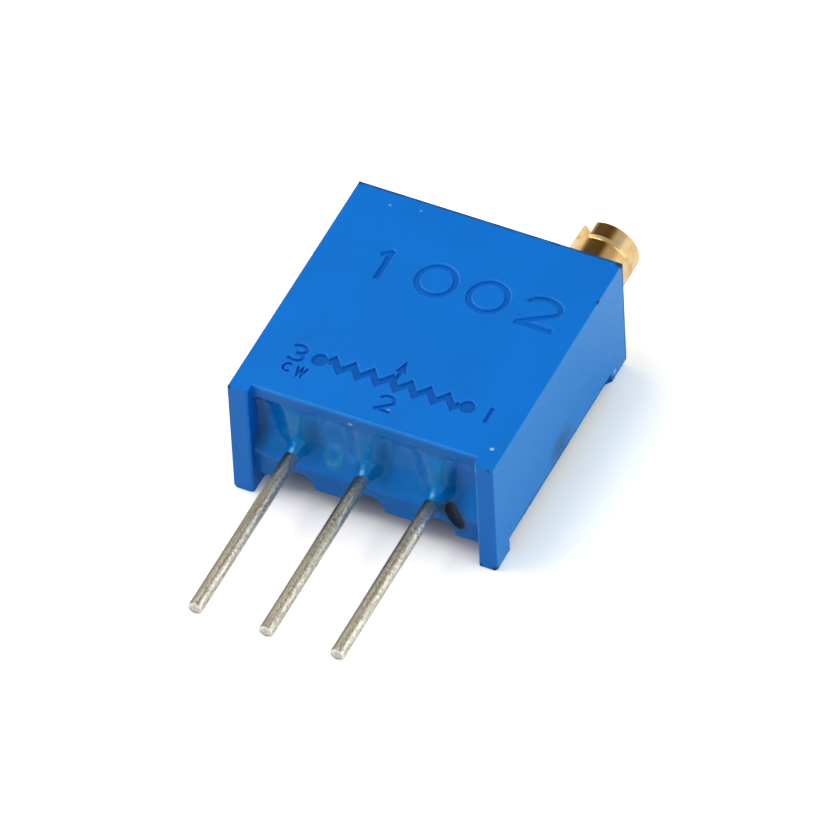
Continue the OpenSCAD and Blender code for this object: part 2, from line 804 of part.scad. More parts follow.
module terminal(x) {
    color("#8C8870") pin_solid(x);
}

housing();
potting_compound();
adjusting_screw();
screw_seal();
retaining_clip();
worm_wheel();
wiper_contact();
ceramic_substrate();
resistive_track();
end_print(1);  // end_print_1
collector_print();
end_print(-1);  // end_print_3
solder_joint(terminal_x[0]);  // solder_joint_1
solder_joint(terminal_x[1]);  // solder_joint_2
solder_joint(terminal_x[2]);  // solder_joint_3
terminal(terminal_x[0]);  // terminal_1
terminal(terminal_x[1]);  // terminal_2
terminal(terminal_x[2]);  // terminal_3
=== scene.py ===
"""Trimming potentiometer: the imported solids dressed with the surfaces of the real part.

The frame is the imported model's own. Sizes are written in millimetres and turned into metres by MM.
"""

import logging
import math
from contextlib import contextmanager
from dataclasses import dataclass, field
from enum import Enum, IntEnum
from functools import cached_property
from typing import Callable, Iterator

import bmesh
import bpy
from mathutils import Matrix, Vector


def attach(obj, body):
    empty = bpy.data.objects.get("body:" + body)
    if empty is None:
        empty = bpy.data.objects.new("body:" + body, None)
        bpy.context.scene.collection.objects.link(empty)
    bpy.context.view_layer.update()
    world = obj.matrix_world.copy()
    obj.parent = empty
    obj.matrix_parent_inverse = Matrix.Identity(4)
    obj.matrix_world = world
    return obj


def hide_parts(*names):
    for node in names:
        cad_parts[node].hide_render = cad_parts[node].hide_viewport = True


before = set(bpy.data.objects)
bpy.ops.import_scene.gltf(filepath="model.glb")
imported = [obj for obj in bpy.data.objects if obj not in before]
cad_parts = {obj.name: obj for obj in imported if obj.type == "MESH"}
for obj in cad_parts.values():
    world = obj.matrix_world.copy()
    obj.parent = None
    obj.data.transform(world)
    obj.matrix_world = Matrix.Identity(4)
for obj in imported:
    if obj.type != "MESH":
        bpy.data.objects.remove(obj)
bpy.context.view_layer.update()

log = logging.getLogger("trimmer")

Colour = tuple[float, float, float, float]
Edge = bmesh.types.BMEdge
Node = bpy.types.Node
Object = bpy.types.Object
Point = tuple[float, float, float]
Settings = dict[str | int, object]
Socket = bpy.types.NodeSocket
Step = tuple[float, float, float, float]
Tree = bpy.types.NodeTree

MM = 0.001
EVEN: Point = (1.0, 1.0, 1.0)
# The pins' places along the row, from the first to the third, and their wire's radius
PINS = (2.54, 0.0, -2.54)
WIRE_R = 0.255
SCREW_X, SCREW_Z = 3.495, 1.115
# The front face's height, the body's far end, and the open mouth's half width and heights
FRONT_Z = 2.415
FAR_Y = 10.03
MOUTH = 4.065
MOUTH_Z = (-0.905, 1.915)
# What counts as one place, in millimetres, and as one plane, in degrees
SAME_PLACE = 0.0002
SAME_PLANE = 0.6
# Edges that fold by more than this are corners of the part
SHARP = 40.0
# How far a vertex may lie off the plane that is looked for, in millimetres
SLACK = 0.001


class Element(Enum):
    """What is selected in edit mode."""

    VERTS = "VERT"
    EDGES = "EDGE"
    FACES = "FACE"


class Axis(IntEnum):
    """An axis of the frame."""

    X = 0
    Y = 1
    Z = 2


# ---------------------------------------------------------------- small helpers


def mm(*values: float) -> Vector:
    """Turns a place or a size in millimetres into a vector in metres."""
    return Vector(values) * MM


def linear(hex_colour: str) -> Colour:
    """Turns an sRGB hex colour into a linear colour.

    Args:
        hex_colour: a colour such as "#1278D8".

    Returns:
        Red, green, blue and alpha, linear.
    """
    channels = [int(hex_colour[i : i + 2], 16) / 255 for i in (1, 3, 5)]
    turned = [c / 12.92 if c <= 0.04045 else ((c + 0.055) / 1.055) ** 2.4 for c in channels]
    return (turned[0], turned[1], turned[2], 1.0)


def deselect_all() -> None:
    """Clears the selection, so that an operator acts on nothing it shouldn't."""
    if bpy.context.object and bpy.context.object.mode != "OBJECT":
        bpy.ops.object.mode_set(mode="OBJECT")
    bpy.ops.object.select_all(action="DESELECT")


def activate(piece: Object) -> None:
    """Makes one piece the only selected and the active one.

    Args:
        piece: the piece.
    """
    deselect_all()
    piece.select_set(True)
    bpy.context.view_layer.objects.active = piece


@contextmanager
def editing(piece: Object, kind: Element = Element.FACES) -> Iterator[None]:
    """Opens a piece in edit mode with nothing selected, and leaves it again.

    Args:
        piece: the piece to edit.
        kind: what is going to be selected.
    """
    activate(piece)
    bpy.ops.object.mode_set(mode="EDIT")
    bpy.ops.mesh.select_mode(type=kind.value)
    bpy.ops.mesh.select_all(action="DESELECT")
    yield
    bpy.ops.object.mode_set(mode="OBJECT")


def pick(piece: Object, kind: Element, test: Callable[[object], bool]) -> int:
    """Selects the elements of a piece in edit mode that pass a test.

    Args:
        piece: the piece in edit mode.
        kind: which elements are tested.
        test: says whether an element is wanted.

    Returns:
        How many were selected.
    """
    bpy.ops.mesh.select_all(action="DESELECT")
    mesh = bmesh.from_edit_mesh(piece.data)
    wanted = [element for element in getattr(mesh, kind.name.lower()) if test(element)]
    for element in wanted:
        element.select_set(True)
    mesh.select_flush_mode()
    bmesh.update_edit_mesh(piece.data)
    return len(wanted)


def round_edges(
    piece: Object, test: Callable[[Edge], bool], radius: float, segments: int, clamp: bool = False
) -> int:
    """Rounds the edges of a piece in edit mode that pass a test.

    Args:
        piece: the piece in edit mode.
        test: says whether an edge is rounded.
        radius: how far, in millimetres.
        segments: how many faces each rounding has across it.
        clamp: whether roundings stop where they would cross.

    Returns:
        How many edges were rounded.
    """
    count = pick(piece, Element.EDGES, test)
    bpy.ops.mesh.bevel(
        offset=radius * MM, segments=segments, affect="EDGES", clamp_overlap=clamp
    )
    return count


def fold(edge: Edge) -> float:
    """The angle in degrees by which the surface turns at an edge, 0 for an open edge."""
    return math.degrees(edge.calc_face_angle(0.0))


def middle_of(edge: Edge) -> Vector:
    """The middle of an edge, in millimetres."""
    return (edge.verts[0].co + edge.verts[1].co) / 2 / MM


def lies_across(edge: Edge, y: float) -> bool:
    """Says whether an edge lies in the plane across Y at a place in millimetres."""
    return all(abs(vert.co.y / MM - y) < SLACK for vert in edge.verts)


def smooth_step(value: float, low: float, high: float) -> float:
    """A smooth step from 0 at low to 1 at high."""
    share = min(max((value - low) / (high - low), 0.0), 1.0)
    return share * share * (3 - 2 * share)


def settle(piece: Object) -> Object:
    """Puts a piece's place, turn and scale into its mesh, so that it sits at the origin.

    Args:
        piece: the piece.

    Returns:
        The same piece.
    """
    activate(piece)
    bpy.ops.object.transform_apply(location=True, rotation=True, scale=True)
    return piece


def add_box(middle: Point, size: Point, turn: float = 0.0) -> Object:
    """Adds a box.

    Args:
        middle: its middle in millimetres.
        size: its size in millimetres.
        turn: how far it is turned about Y, in degrees.

    Returns:
        The box.
    """
    deselect_all()
    turned = (0.0, math.radians(turn), 0.0)
    bpy.ops.mesh.primitive_cube_add(
        size=1.0, location=mm(*middle), rotation=turned, scale=mm(*size)
    )
    return settle(bpy.context.object)


def add_rod(x: float, z: float, ends: tuple[float, float], radius: float, sides: int) -> Object:
    """Adds a round rod along Y.

    Args:
        x: its axis's place across.
        z: its axis's height.
        ends: where it starts and ends along Y.
        radius: its radius, in millimetres as the others.
        sides: how many flat sides stand for its roundness.

    Returns:
        The rod.
    """
    deselect_all()
    start, end = ends
    bpy.ops.mesh.primitive_cylinder_add(
        vertices=sides,
        radius=radius * MM,
        depth=(end - start) * MM,
        location=mm(x, (start + end) / 2, z),
        rotation=(math.radians(90), 0.0, 0.0),
    )
    return settle(bpy.context.object)


def slice_across(piece: Object, y: float, **settings: bool) -> None:
    """Cuts all of a piece's faces along a plane across Y.

    Args:
        piece: the piece.
        y: the plane's place in millimetres.
        settings: what becomes of the far side and of the cut.
    """
    with editing(piece):
        bpy.ops.mesh.select_all(action="SELECT")
        bpy.ops.mesh.bisect(
            plane_co=mm(0.0, y, 0.0), plane_no=(0.0, 1.0, 0.0), threshold=SLACK * MM, **settings
        )


def apply_modifier(piece: Object, kind: str, **settings: object) -> None:
    """Adds a modifier to a piece and applies it at once.

    Args:
        piece: the piece.
        kind: the modifier's type, such as BEVEL.
        settings: its settings by name.
    """
    activate(piece)
    modifier = piece.modifiers.new(kind.title(), kind)
    for name, value in settings.items():
        setattr(modifier, name, value)
    bpy.ops.object.modifier_apply(modifier=modifier.name)


def cut_away(piece: Object, cutter: Object) -> None:
    """Cuts a solid's shape out of a piece, and removes that solid."""
    apply_modifier(piece, "BOOLEAN", operation="DIFFERENCE", object=cutter, solver="EXACT")
    bpy.data.objects.remove(cutter, do_unlink=True)


def smooth(piece: Object, angle: float) -> None:
    """Shades a piece smooth, except where it turns by more than an angle in degrees."""
    activate(piece)
    bpy.ops.object.shade_smooth_by_angle(angle=math.radians(angle))


def smooth_by_weight(piece: Object, angle: float) -> None:
    """Shades a piece smooth up to an angle, and keeps its flat faces flat beside rounded edges.

    Args:
        piece: the piece.
        angle: edges that turn more than this many degrees stay sharp.
    """
    smooth(piece, angle)
    # The weights go by area, and areas this small in square metres would all count as equal
    piece.data.transform(Matrix.Scale(1 / MM, 4))
    apply_modifier(piece, "WEIGHTED_NORMAL", keep_sharp=True, weight=100)
    piece.data.transform(Matrix.Scale(MM, 4))


def copy_of_node(node: str, name: str) -> Object:
    """Copies a CAD node's mesh into a new piece, with its triangles merged into faces.

    Args:
        node: the CAD node.
        name: the new piece's name.

    Returns:
        The new piece.
    """
    piece = bpy.data.objects.new(name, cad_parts[node].data.copy())
    bpy.context.scene.collection.objects.link(piece)
    piece.data.materials.clear()
    with editing(piece):
        bpy.ops.mesh.select_all(action="SELECT")
        bpy.ops.mesh.customdata_custom_splitnormals_clear()
        bpy.ops.mesh.remove_doubles(threshold=SAME_PLACE * MM)
        bpy.ops.mesh.dissolve_limited(angle_limit=math.radians(SAME_PLANE))
    return piece


def dress_piece(piece: Object, material: bpy.types.Material) -> None:
    """Gives a piece or a CAD node one material in its slots.

    Args:
        piece: the piece or the node.
        material: its material.
    """
    if not piece.data.materials:
        piece.data.materials.append(material)
    for slot in piece.material_slots:
        slot.material = material


# ---------------------------------------------------------------- materials


def add_node(tree: Tree, kind: str, settings: Settings | None = None) -> Node:
    """Adds one node with its settings and its links.

    Args:
        tree: the node tree.
        kind: the node's type.
        settings: by property name, or by input name or number. An input takes a value, a hex
            colour, or the output or mask that feeds it.

    Returns:
        The new node.
    """
    node = tree.nodes.new(kind)
    for name, value in (settings or {}).items():
        value = value.out if isinstance(value, Mask) else value
        if isinstance(name, str) and hasattr(node, name):
            setattr(node, name, value)
        elif isinstance(value, Socket):
            tree.links.new(value, node.inputs[name])
        else:
            node.inputs[name].default_value = linear(value) if isinstance(value, str) else value
    return node


def cleared_tree(owner: bpy.types.Material | bpy.types.World) -> Tree:
    """Turns on the nodes of a material or a world, and clears them.

    Args:
        owner: the material or the world.

    Returns:
        Its empty node tree.
    """
    owner.use_nodes = True
    owner.node_tree.nodes.clear()
    return owner.node_tree


@dataclass(frozen=True)
class Mask:
    """A number that varies over a surface. Masks add, subtract and multiply; | takes the larger."""

    out: Socket

    def into(self, kind: str, settings: Settings) -> "Mask":
        """Feeds the mask to a new node, its type written without ShaderNode.

        Args:
            kind: the node's type.
            settings: its other settings, as add_node takes them.

        Returns:
            What the node makes of the mask.
        """
        node = add_node(self.out.id_data, "ShaderNode" + kind, settings | {0: self})
        return Mask(node.outputs[0])

    def __abs__(self) -> "Mask":
        """The mask without its sign."""
        return self.into("Math", {"operation": "ABSOLUTE"})

    def __add__(self, other: "Mask | float") -> "Mask":
        """The sum of both."""
        return self.into("Math", {"operation": "ADD", 1: other})

    def __sub__(self, other: "Mask | float") -> "Mask":
        """The first less the second."""
        return self.into("Math", {"operation": "SUBTRACT", 1: other})

    def __mul__(self, other: "Mask | float") -> "Mask":
        """The product of both."""
        return self.into("Math", {"operation": "MULTIPLY", 1: other})

    def __or__(self, other: "Mask") -> "Mask":
        """The larger of both."""
        return self.into("Math", {"operation": "MAXIMUM", 1: other})

    def step(self, low: float, high: float, start: float = 0.0, end: float = 1.0) -> "Mask":
        """Turns the mask into a smooth step.

        Args:
            low: where the step starts.
            high: where it ends.
            start: the result before the step.
            end: the result after it.

        Returns:
            The stepped mask.
        """
        bounds = {"interpolation_type": "SMOOTHSTEP", 1: low, 2: high, 3: start, 4: end}
        return self.into("MapRange", bounds)


@dataclass
class Surface:
    """A material in the making: its nodes, and the colour that has been laid on so far."""

    tree: Tree
    shader: Node
    place: Socket
    base: Socket | str

    @cached_property
    def axes(self) -> list[Mask]:
        """The coordinates X, Y and Z in metres."""
        return [Mask(out) for out in self.add("SeparateXYZ", {0: self.place}).outputs]

    def add(self, kind: str, settings: Settings) -> Node:
        """Adds one node to this material, its type written without ShaderNode."""
        return add_node(self.tree, "ShaderNode" + kind, settings)

    def along(
        self, axis: Axis, low: float, high: float, start: float = 0.0, end: float = 1.0
    ) -> Mask:
        """Changes smoothly from start to end between two places on an axis, in millimetres."""
        return self.axes[axis].step(low * MM, high * MM, start, end)

    def grain(self, size: float, stretch: Point = EVEN, detail: float = 3.0) -> Mask:
        """Adds an uneven pattern of a real size.

        Args:
            size: the size of its spots in millimetres.
            stretch: how many times longer the spots are along each axis.
            detail: how fine its finest layer is.

        Returns:
            The pattern, from 0 to 1.
        """
        scale = tuple(1 / (size * MM * s) for s in stretch)
        local = self.add("Mapping", {"Scale": scale, "Vector": self.place}).outputs["Vector"]
        settings = {"Scale": 1.0, "Detail": detail, "Vector": local}
        return Mask(self.add("TexNoise", settings).outputs["Fac"])

    def spot(
        self,
        centre: Point,
        radius: float,
        edge: float,
        squash: Point = EVEN,
        place: Socket | None = None,
    ) -> Mask:
        """Marks one round place on a piece.

        Args:
            centre: the middle of the spot, in millimetres.
            radius: its radius in millimetres.
            edge: the width of its soft edge in millimetres.
            squash: how many times longer the spot is along each axis.
            place: coordinates in metres, where they aren't the piece's own.

        Returns:
            1 inside the spot and 0 outside it.
        """
        settings = {
            "Scale": tuple(1 / (MM * s) for s in squash),
            "Location": tuple(-c / s for c, s in zip(centre, squash)),
            "Vector": self.place if place is None else place,
        }
        local = self.add("Mapping", settings).outputs["Vector"]
        distance = self.add("VectorMath", {"operation": "LENGTH", 0: local}).outputs["Value"]
        return Mask(distance).step(radius - edge / 2, radius + edge / 2, 1.0, 0.0)

    def at_pins(self, offset: Point, radius: float, edge: float, squash: Point = EVEN) -> Mask:
        """Marks the same spot by each pin.

        Args:
            offset: from a pin's foot to the middle of its spot, in millimetres.
            radius: as for a spot.
            edge: as for a spot.
            squash: as for a spot.

        Returns:
            1 inside the spots and 0 outside them.
        """
        x, y, z = offset
        first, second, third = (self.spot((p + x, y, z), radius, edge, squash) for p in PINS)
        return first | second | third

    def tint(self, colour: str, share: Mask) -> None:
        """Lays a colour over the colour so far, by a share from 0 to 1."""
        settings = {"data_type": "RGBA", 0: share, 6: self.base, 7: colour}
        self.base = self.add("Mix", settings).outputs[2]

    def close(self, rough: Mask, height: Mask, depth: float) -> None:
        """Feeds the shader.

        Args:
            rough: the roughness.
            height: the relief's pattern, from 0 to 1.
            depth: the relief's depth in millimetres.
        """
        settings = {"Strength": 1.0, "Distance": depth * MM, "Height": height}
        normal = self.add("Bump", settings).outputs["Normal"]
        fed = {"Base Color": self.base, "Roughness": rough.out, "Normal": normal}
        for name, output in fed.items():
            self.tree.links.new(output, self.shader.inputs[name])


@dataclass(frozen=True)
class Finish:
    """A finish whose colour and roughness vary a little with the grain of the real surface."""

    name: str
    colour: str
    shade: str
    metallic: float = 0.0
    roughness: float = 0.5
    roughness_swing: float = 0.1
    grain: float = 0.2
    stretch: Point = EVEN
    bump: float = 0.004
    ior: float | None = None
    sheen_level: float = 0.5
    sheen: str = "#FFFFFF"

    def build(self) -> bpy.types.Material:
        """Builds the material's nodes.

        Returns:
            The material.
        """
        material = bpy.data.materials.new(self.name)
        tree = cleared_tree(material)
        gloss: Settings = {"Metallic": self.metallic}
        if self.ior is not None:
            gloss |= {
                "IOR": self.ior,
                "Specular IOR Level": self.sheen_level,
                "Specular Tint": self.sheen,
            }
        shader = add_node(tree, "ShaderNodeBsdfPrincipled", gloss)
        place = add_node(tree, "ShaderNodeTexCoord").outputs["Object"]
        self.dress(Surface(tree, shader, place, self.colour))
        add_node(tree, "ShaderNodeOutputMaterial", {"Surface": shader.outputs["BSDF"]})
        return material

    @property
    def rough_range(self) -> tuple[float, float]:
        """The least and the greatest roughness."""
        return self.roughness - self.roughness_swing, self.roughness + self.roughness_swing

    def dress(self, skin: Surface) -> None:
        """Lays the grain over colour, roughness and relief.

        Args:
            skin: the material in the making.
        """
        grain = skin.grain(self.grain, self.stretch)
        skin.tint(self.shade, grain)
        skin.close(grain.step(0.3, 0.7, *self.rough_range), grain, self.bump)


@dataclass(frozen=True)
class MouldedPolyester(Finish):
    """Blue glass-filled polyester, injection moulded: a satin skin with dirt and painted shade on
    sharp edges.
    """

    # Painted shade on the marks' floors and on a foot's inner side
    sunk: str = "#005AB6"
    # Painted light on the right side wall
    wall: str = "#0084DE"
    stained: str = "#0060B0"
    # A painted highlight along the front wall end's top edge
    edge_highlight: str = "#2C9CFC"
    # Dirt and painted shade on edges and in corners
    grime_and_shade: str = "#1E2428"
    smudge: str = "#123058"
    chip: str = "#D8E6F4"
    # Painted highlights on a foot's inner edge and at its top
    foot_edge_highlight: str = "#3CA4F4"
    glint: str = "#7CCCFC"
    side: float = 4.765
    # How far the side walls' lower edge stands off the table
    foot: float = 0.66

    def dress(self, skin: Surface) -> None:
        """Lays on the skin's mottle, the painted shade in the sunk marks, painted light and
        highlights, the chips and the dark edges of dirt and painted shade.

        Args:
            skin: the material in the making.
        """
        side, along = self.side, skin.along
        grain = skin.grain(self.grain, detail=4.0)
        skin.tint(self.shade, skin.grain(2.5, detail=2.0).step(0.3, 0.7))
        # Painted shade on the floors of the sunk marks, which light reaches less, and on the inner
        # side of the left foot
        sunk = skin.add("Attribute", {"attribute_name": "sunk"}).outputs["Fac"]
        skin.tint(self.sunk, Mask(sunk) * 0.9)
        # Painted light: the right side wall is tinted greener, for the cyan light that falls on it
        # from the right
        at_side = along(Axis.X, side - 0.04, side - 0.01)
        skin.tint(self.wall, at_side)
        # The front wall's end takes the epoxy's darker tone, with a painted highlight along its top
        # edge
        between = abs(skin.axes[Axis.X]).step(4.04 * MM, 4.08 * MM, 1.0, 0.0)
        end = between * along(Axis.Y, 0.39, 0.43, 1.0, 0.0)
        skin.tint(self.stained, end * along(Axis.Z, FRONT_Z - 0.3, FRONT_Z - 0.1, 0.65, 0.0))
        skin.tint(self.edge_highlight, end * along(Axis.Z, FRONT_Z - 0.16, FRONT_Z - 0.06, 0.0, 0.6))
        # Dirt and painted shade in the corners and along the far top edge, broken up by noise
        ragged = skin.grain(0.5).step(0.38, 0.62) * 0.5 + 0.5
        grime_and_shade = along(Axis.Y, FAR_Y - 0.14, FAR_Y - 0.04)
        grime_and_shade = grime_and_shade * along(Axis.Z, FRONT_Z - 0.12, FRONT_Z - 0.03) * ragged
        corners: list[tuple[Point, float]] = [
            ((-side, 0.0, FRONT_Z), 0.1),
            ((-side, FAR_Y, FRONT_Z), 0.16),
            ((side - 0.06, FAR_Y, FRONT_Z), 0.2),
            ((side, 8.14, FRONT_Z), 0.08),
            ((4.59, 0.0, 2.33), 0.05),
            ((side, 0.0, -FRONT_Z), 0.2),
            ((4.09, 0.0, -FRONT_Z), 0.13),
            ((side, 9.0, -2.13), 0.13),
        ]
        for centre, radius in corners:
            grime_and_shade = grime_and_shade | skin.spot(centre, radius, 0.12)
        # Dark lines of dirt and painted shade along a side wall's far edge and its lower edge,
        # between the rear pads
        far_line = along(Axis.Y, FAR_Y - 0.12, FAR_Y - 0.03, 0.0, 0.85)
        low = self.foot - FRONT_Z
        low_line = along(Axis.Z, low + 0.03, low + 0.15, 0.85, 0.0)
        low_line = low_line * (along(Axis.Y, 1.1, 1.4) * along(Axis.Y, 8.7, 8.9, 1.0, 0.0))
        grime_and_shade = grime_and_shade | (far_line | low_line) * at_side * ragged
        skin.tint(self.grime_and_shade, grime_and_shade * 0.88)
        # A rubbed, darker smudge on the side wall
        smudge = skin.spot((side, 4.95, -1.25), 0.45, 0.8, (1.0, 1.4, 1.1))
        skin.tint(self.smudge, smudge * grain.step(0.2, 0.6, 0.25, 0.6))
        # Small pale chips where the skin has been knocked: the middle, the radius and the share
        chips: list[tuple[Point, float, float]] = [
            ((4.33, 0.87, FRONT_Z), 0.05, 0.75),
            ((-3.37, 9.43, FRONT_Z), 0.03, 0.4),
            ((-2.32, 9.59, FRONT_Z), 0.03, 0.3),
            ((0.5, 1.1, FRONT_Z), 0.04, 0.3),
            ((-0.54, 0.4, 2.0), 0.055, 0.6),
            ((side, 9.14, -1.86), 0.08, 0.6),
        ]
        for centre, radius, share in chips:
            skin.tint(self.chip, skin.spot(centre, radius, 0.07, (1.3, 1.0, 1.0)) * share)
        # Painted highlights: a pale line along a foot's inner edge, and a glint at its top
        foot_edge_highlight = skin.spot((4.08, 0.0, 0.3), 0.07, 0.06, (1.0, 1.6, 36.0))
        skin.tint(self.foot_edge_highlight, foot_edge_highlight * 0.5)
        glint = skin.spot((4.08, 0.03, 2.2), 0.07, 0.08, (1.0, 1.3, 2.4))
        skin.tint(self.glint, glint * 0.6)
        BUBBLE.darken_round(skin)
        rough = grain.step(0.3, 0.7, *self.rough_range) + grime_and_shade * 0.3
        skin.close(rough, skin.grain(3.0, detail=1.0) * 3.0 + grain, self.bump)


@dataclass(frozen=True)
class CastEpoxy(Finish):
    """Blue epoxy, poured and cured: glossy and a little cloudy, greenish where it is thin."""

    thin: str = "#0878B0"
    # Painted shade on the right of the pins
    deep: str = "#004C80"
    oval: str = "#48A8CC"
    foot_shadow: str = "#00346C"
    low: str = "#0074D8"
    high: str = "#0068BC"
    pin_foot_glint: str = "#84C4FF"
    corner_glint: str = "#7CD8FC"

    def dress(self, skin: Surface) -> None:
        """Lays on the cloud, the tinge round the pins, the painted shade and highlights, the pale
        oval and the open bubble.

        Args:
            skin: the material in the making.
        """
        skin.tint(self.shade, skin.grain(0.7, (1.0, 1.0, 1.6)).step(0.35, 0.7))
        skin.tint(self.thin, skin.at_pins((0.0, 0.3, 0.5), 0.75, 0.9, (0.8, 1.0, 1.7)) * 0.45)
        # Painted shade in the hollows on the right of the pins, which lie in shadow
        deep = skin.at_pins((0.46, 0.5, 0.5), 0.26, 0.6, (0.9, 3.0, 2.6))
        shade_patches = (((0.6, 0.6, 0.09), 0.1), ((2.68, 0.5, -0.35), 0.22), ((0.2, 0.4, 0.0), 0.16))
        for centre, radius in shade_patches:
            deep = deep | skin.spot(centre, radius, 0.25, (1.0, 3.0, 1.2))
        skin.tint(self.deep, deep * 0.65)
        # A pale oval of small bubbles between the third and the second pin
        oval = skin.spot((-1.34, 0.6, -0.12), 0.36, 0.16, (0.9, 3.0, 1.4))
        oval = oval - skin.spot((-1.38, 0.6, -0.08), 0.17, 0.16, (0.9, 3.0, 1.4)) * 0.8
        bubbles = skin.grain(0.12, detail=1.0).step(0.5, 0.62)
        skin.tint(self.oval, oval * (bubbles * 0.5 + 0.3))
        # Painted shadow of the left foot on the epoxy beside it
        skin.tint(self.foot_shadow, skin.along(Axis.X, -4.05, -3.45, 0.8, 0.0))
        # It turns into the body's own blue where it lies level with the walls' ends
        skin.tint(self.low, skin.along(Axis.Z, -0.9, -0.25, 1.0, 0.0))
        skin.tint(self.high, skin.along(Axis.Z, 1.55, 1.9))
        # A painted highlight on the epoxy that has climbed the top of each pin
        skin.tint(self.pin_foot_glint, skin.at_pins((-0.02, 0.02, 0.27), 0.06, 0.1, (1.1, 1.7, 1.0)) * 0.8)
        # A painted highlight on the epoxy in the corner by the first pin's foot
        skin.tint(self.corner_glint, skin.spot((3.84, 0.43, 1.74), 0.07, 0.09, (1.0, 2.0, 2.6)) * 0.75)
        BUBBLE.darken_round(skin)
        # The epoxy that has climbed the pins is smooth and catches the light
        smooth_there = skin.at_pins((0.0, 0.1, 0.0), 0.5, 0.3).step(0.0, 1.0, 1.0, 0.45)
        rough = skin.grain(0.25, detail=2.0).step(0.3, 0.75, *self.rough_range)
        skin.close(rough * smooth_there, skin.grain(self.grain, detail=2.0), self.bump)


@dataclass(frozen=True)
class DrawnTinnedWire(Finish):
    """Drawn, hot-tinned copper wire: matt bright metal, streaked lengthwise, pink where cut, with
    painted shade on one flank.
    """

    copper: str = "#FFF2E8"
    shaded_flank: str = "#807C6A"
    patch: str = "#8E8870"
    frost: str = "#847C66"
    tarnish: str = "#5C6C74"
    free_end: float = -7.3

    def dress(self, skin: Surface) -> None:
        """Lays on the streaks, the painted shade on one flank, the tarnish near the body and the
        bare copper of the cut end.

        Args:
            skin: the material in the making.
        """
        streaks = skin.grain(self.grain, self.stretch, detail=4.0)
        patches = skin.grain(0.35, (1.0, 3.0, 1.0))
        skin.tint(self.shade, streaks.step(0.35, 0.65))
        skin.tint(self.patch, patches.step(0.5, 0.8, 0.0, 0.35))
        # Grains of the tin, frosted when it froze
        grains = skin.grain(0.08, (1.0, 1.5, 1.0))
        skin.tint(self.frost, grains.step(0.48, 0.62, 0.0, 0.5))
        # Painted shade: the left flank of each wire is darkened to olive grey
        half = PINS[0] / 2 * MM
        offset = skin.axes[Axis.X].into("Math", {"operation": "WRAP", 1: half, 2: -half})
        skin.tint(self.shaded_flank, offset.step(-0.03 * MM, 0.09 * MM, 0.85, 0.0))
        skin.tint(self.tarnish, skin.along(Axis.Y, -2.2, -0.2, 0.0, 0.5) * patches)
        cut = skin.along(Axis.Y, self.free_end + 0.005, self.free_end + 0.03, 1.0, 0.0)
        skin.tint(self.copper, cut)
        rough = patches.step(0.3, 0.7, *self.rough_range)
        skin.close(rough, streaks * 0.4 + grains, self.bump)


@dataclass(frozen=True)
class TurnedBrass(Finish):
    """Free-cutting brass, turned on a lathe: fine rings round its axis, bright on the flanks."""

    ring: float = 0.05

    def dress(self, skin: Surface) -> None:
        """Lays turning rings on the end face and lines round the side, with a little tarnish.

        Args:
            skin: the material in the making.
        """
        cloud = skin.grain(0.5)
        skin.tint(self.shade, cloud.step(0.35, 0.7))
        flat = {
            "Location": (-SCREW_X * MM, 0.0, -SCREW_Z * MM),
            "Scale": (1.0, 0.0, 1.0),
            "Vector": skin.place,
        }
        centred = skin.add("Mapping", flat).outputs["Vector"]
        radius = skin.add("VectorMath", {"operation": "LENGTH", 0: centred}).outputs["Value"]
        turns = (Mask(radius) + skin.axes[Axis.Y]) * (2 * math.pi / (self.ring * MM))
        rings = turns.into("Math", {"operation": "SINE"}) * 0.5 + 0.5
        rough = cloud.step(0.3, 0.7, *self.rough_range)
        skin.close(rough, rings * 0.6 + skin.grain(0.08, detail=2.0), self.bump)


@dataclass(frozen=True)
class BurstBubble:
    """The open bubble beside the first pin, half in the potting and half in the rear wall's end."""

    centre: Point = (3.08, 0.4, -0.86)
    size: Point = (0.27, 0.34, 0.55)
    lean: float = 25.5
    # Painted shade inside the bubble and by the pin, and a darker colour round it
    inside: str = "#3C3424"
    by_pin: str = "#0C2C48"
    around: str = "#0C4474"

    def darken_round(self, skin: Surface) -> None:
        """Darkens the skin round the bubble, with painted shade most of all on the pin's side, and
        paints shade on its inside.

        Args:
            skin: the material that the bubble cuts into.
        """
        x, y, z = self.centre
        # Painted shade between the pin and the bubble
        by_pin = skin.spot((x - 0.42, y, z + 0.16), 0.24, 0.36, (1.0, 3.0, 1.3))
        skin.tint(self.by_pin, by_pin * 0.85)
        around = skin.spot((x + 0.06, y, z), 0.5, 0.5, (0.8, 3.0, 1.3))
        skin.tint(self.around, around * 0.5)
        turn = {
            "rotation_type": "Y_AXIS",
            "Center": tuple(mm(*self.centre)),
            "Angle": math.radians(self.lean),
            "Vector": skin.place,
        }
        turned = skin.add("VectorRotate", turn).outputs["Vector"]
        # Painted shade on the inside of the bubble
        inside = skin.spot(self.centre, 1.12, 0.45, self.size, turned)
        skin.tint(self.inside, inside * 0.93)

    def cut(self, piece: Object) -> None:
        """Cuts the bubble out of a piece.

        Args:
            piece: the piece.
        """
        deselect_all()
        bpy.ops.mesh.primitive_uv_sphere_add(
            segments=40,
            ring_count=24,
            radius=1.0,
            location=mm(*self.centre),
            rotation=(0.0, -math.radians(self.lean), 0.0),
            scale=mm(*self.size),
        )
        cut_away(piece, settle(bpy.context.object))


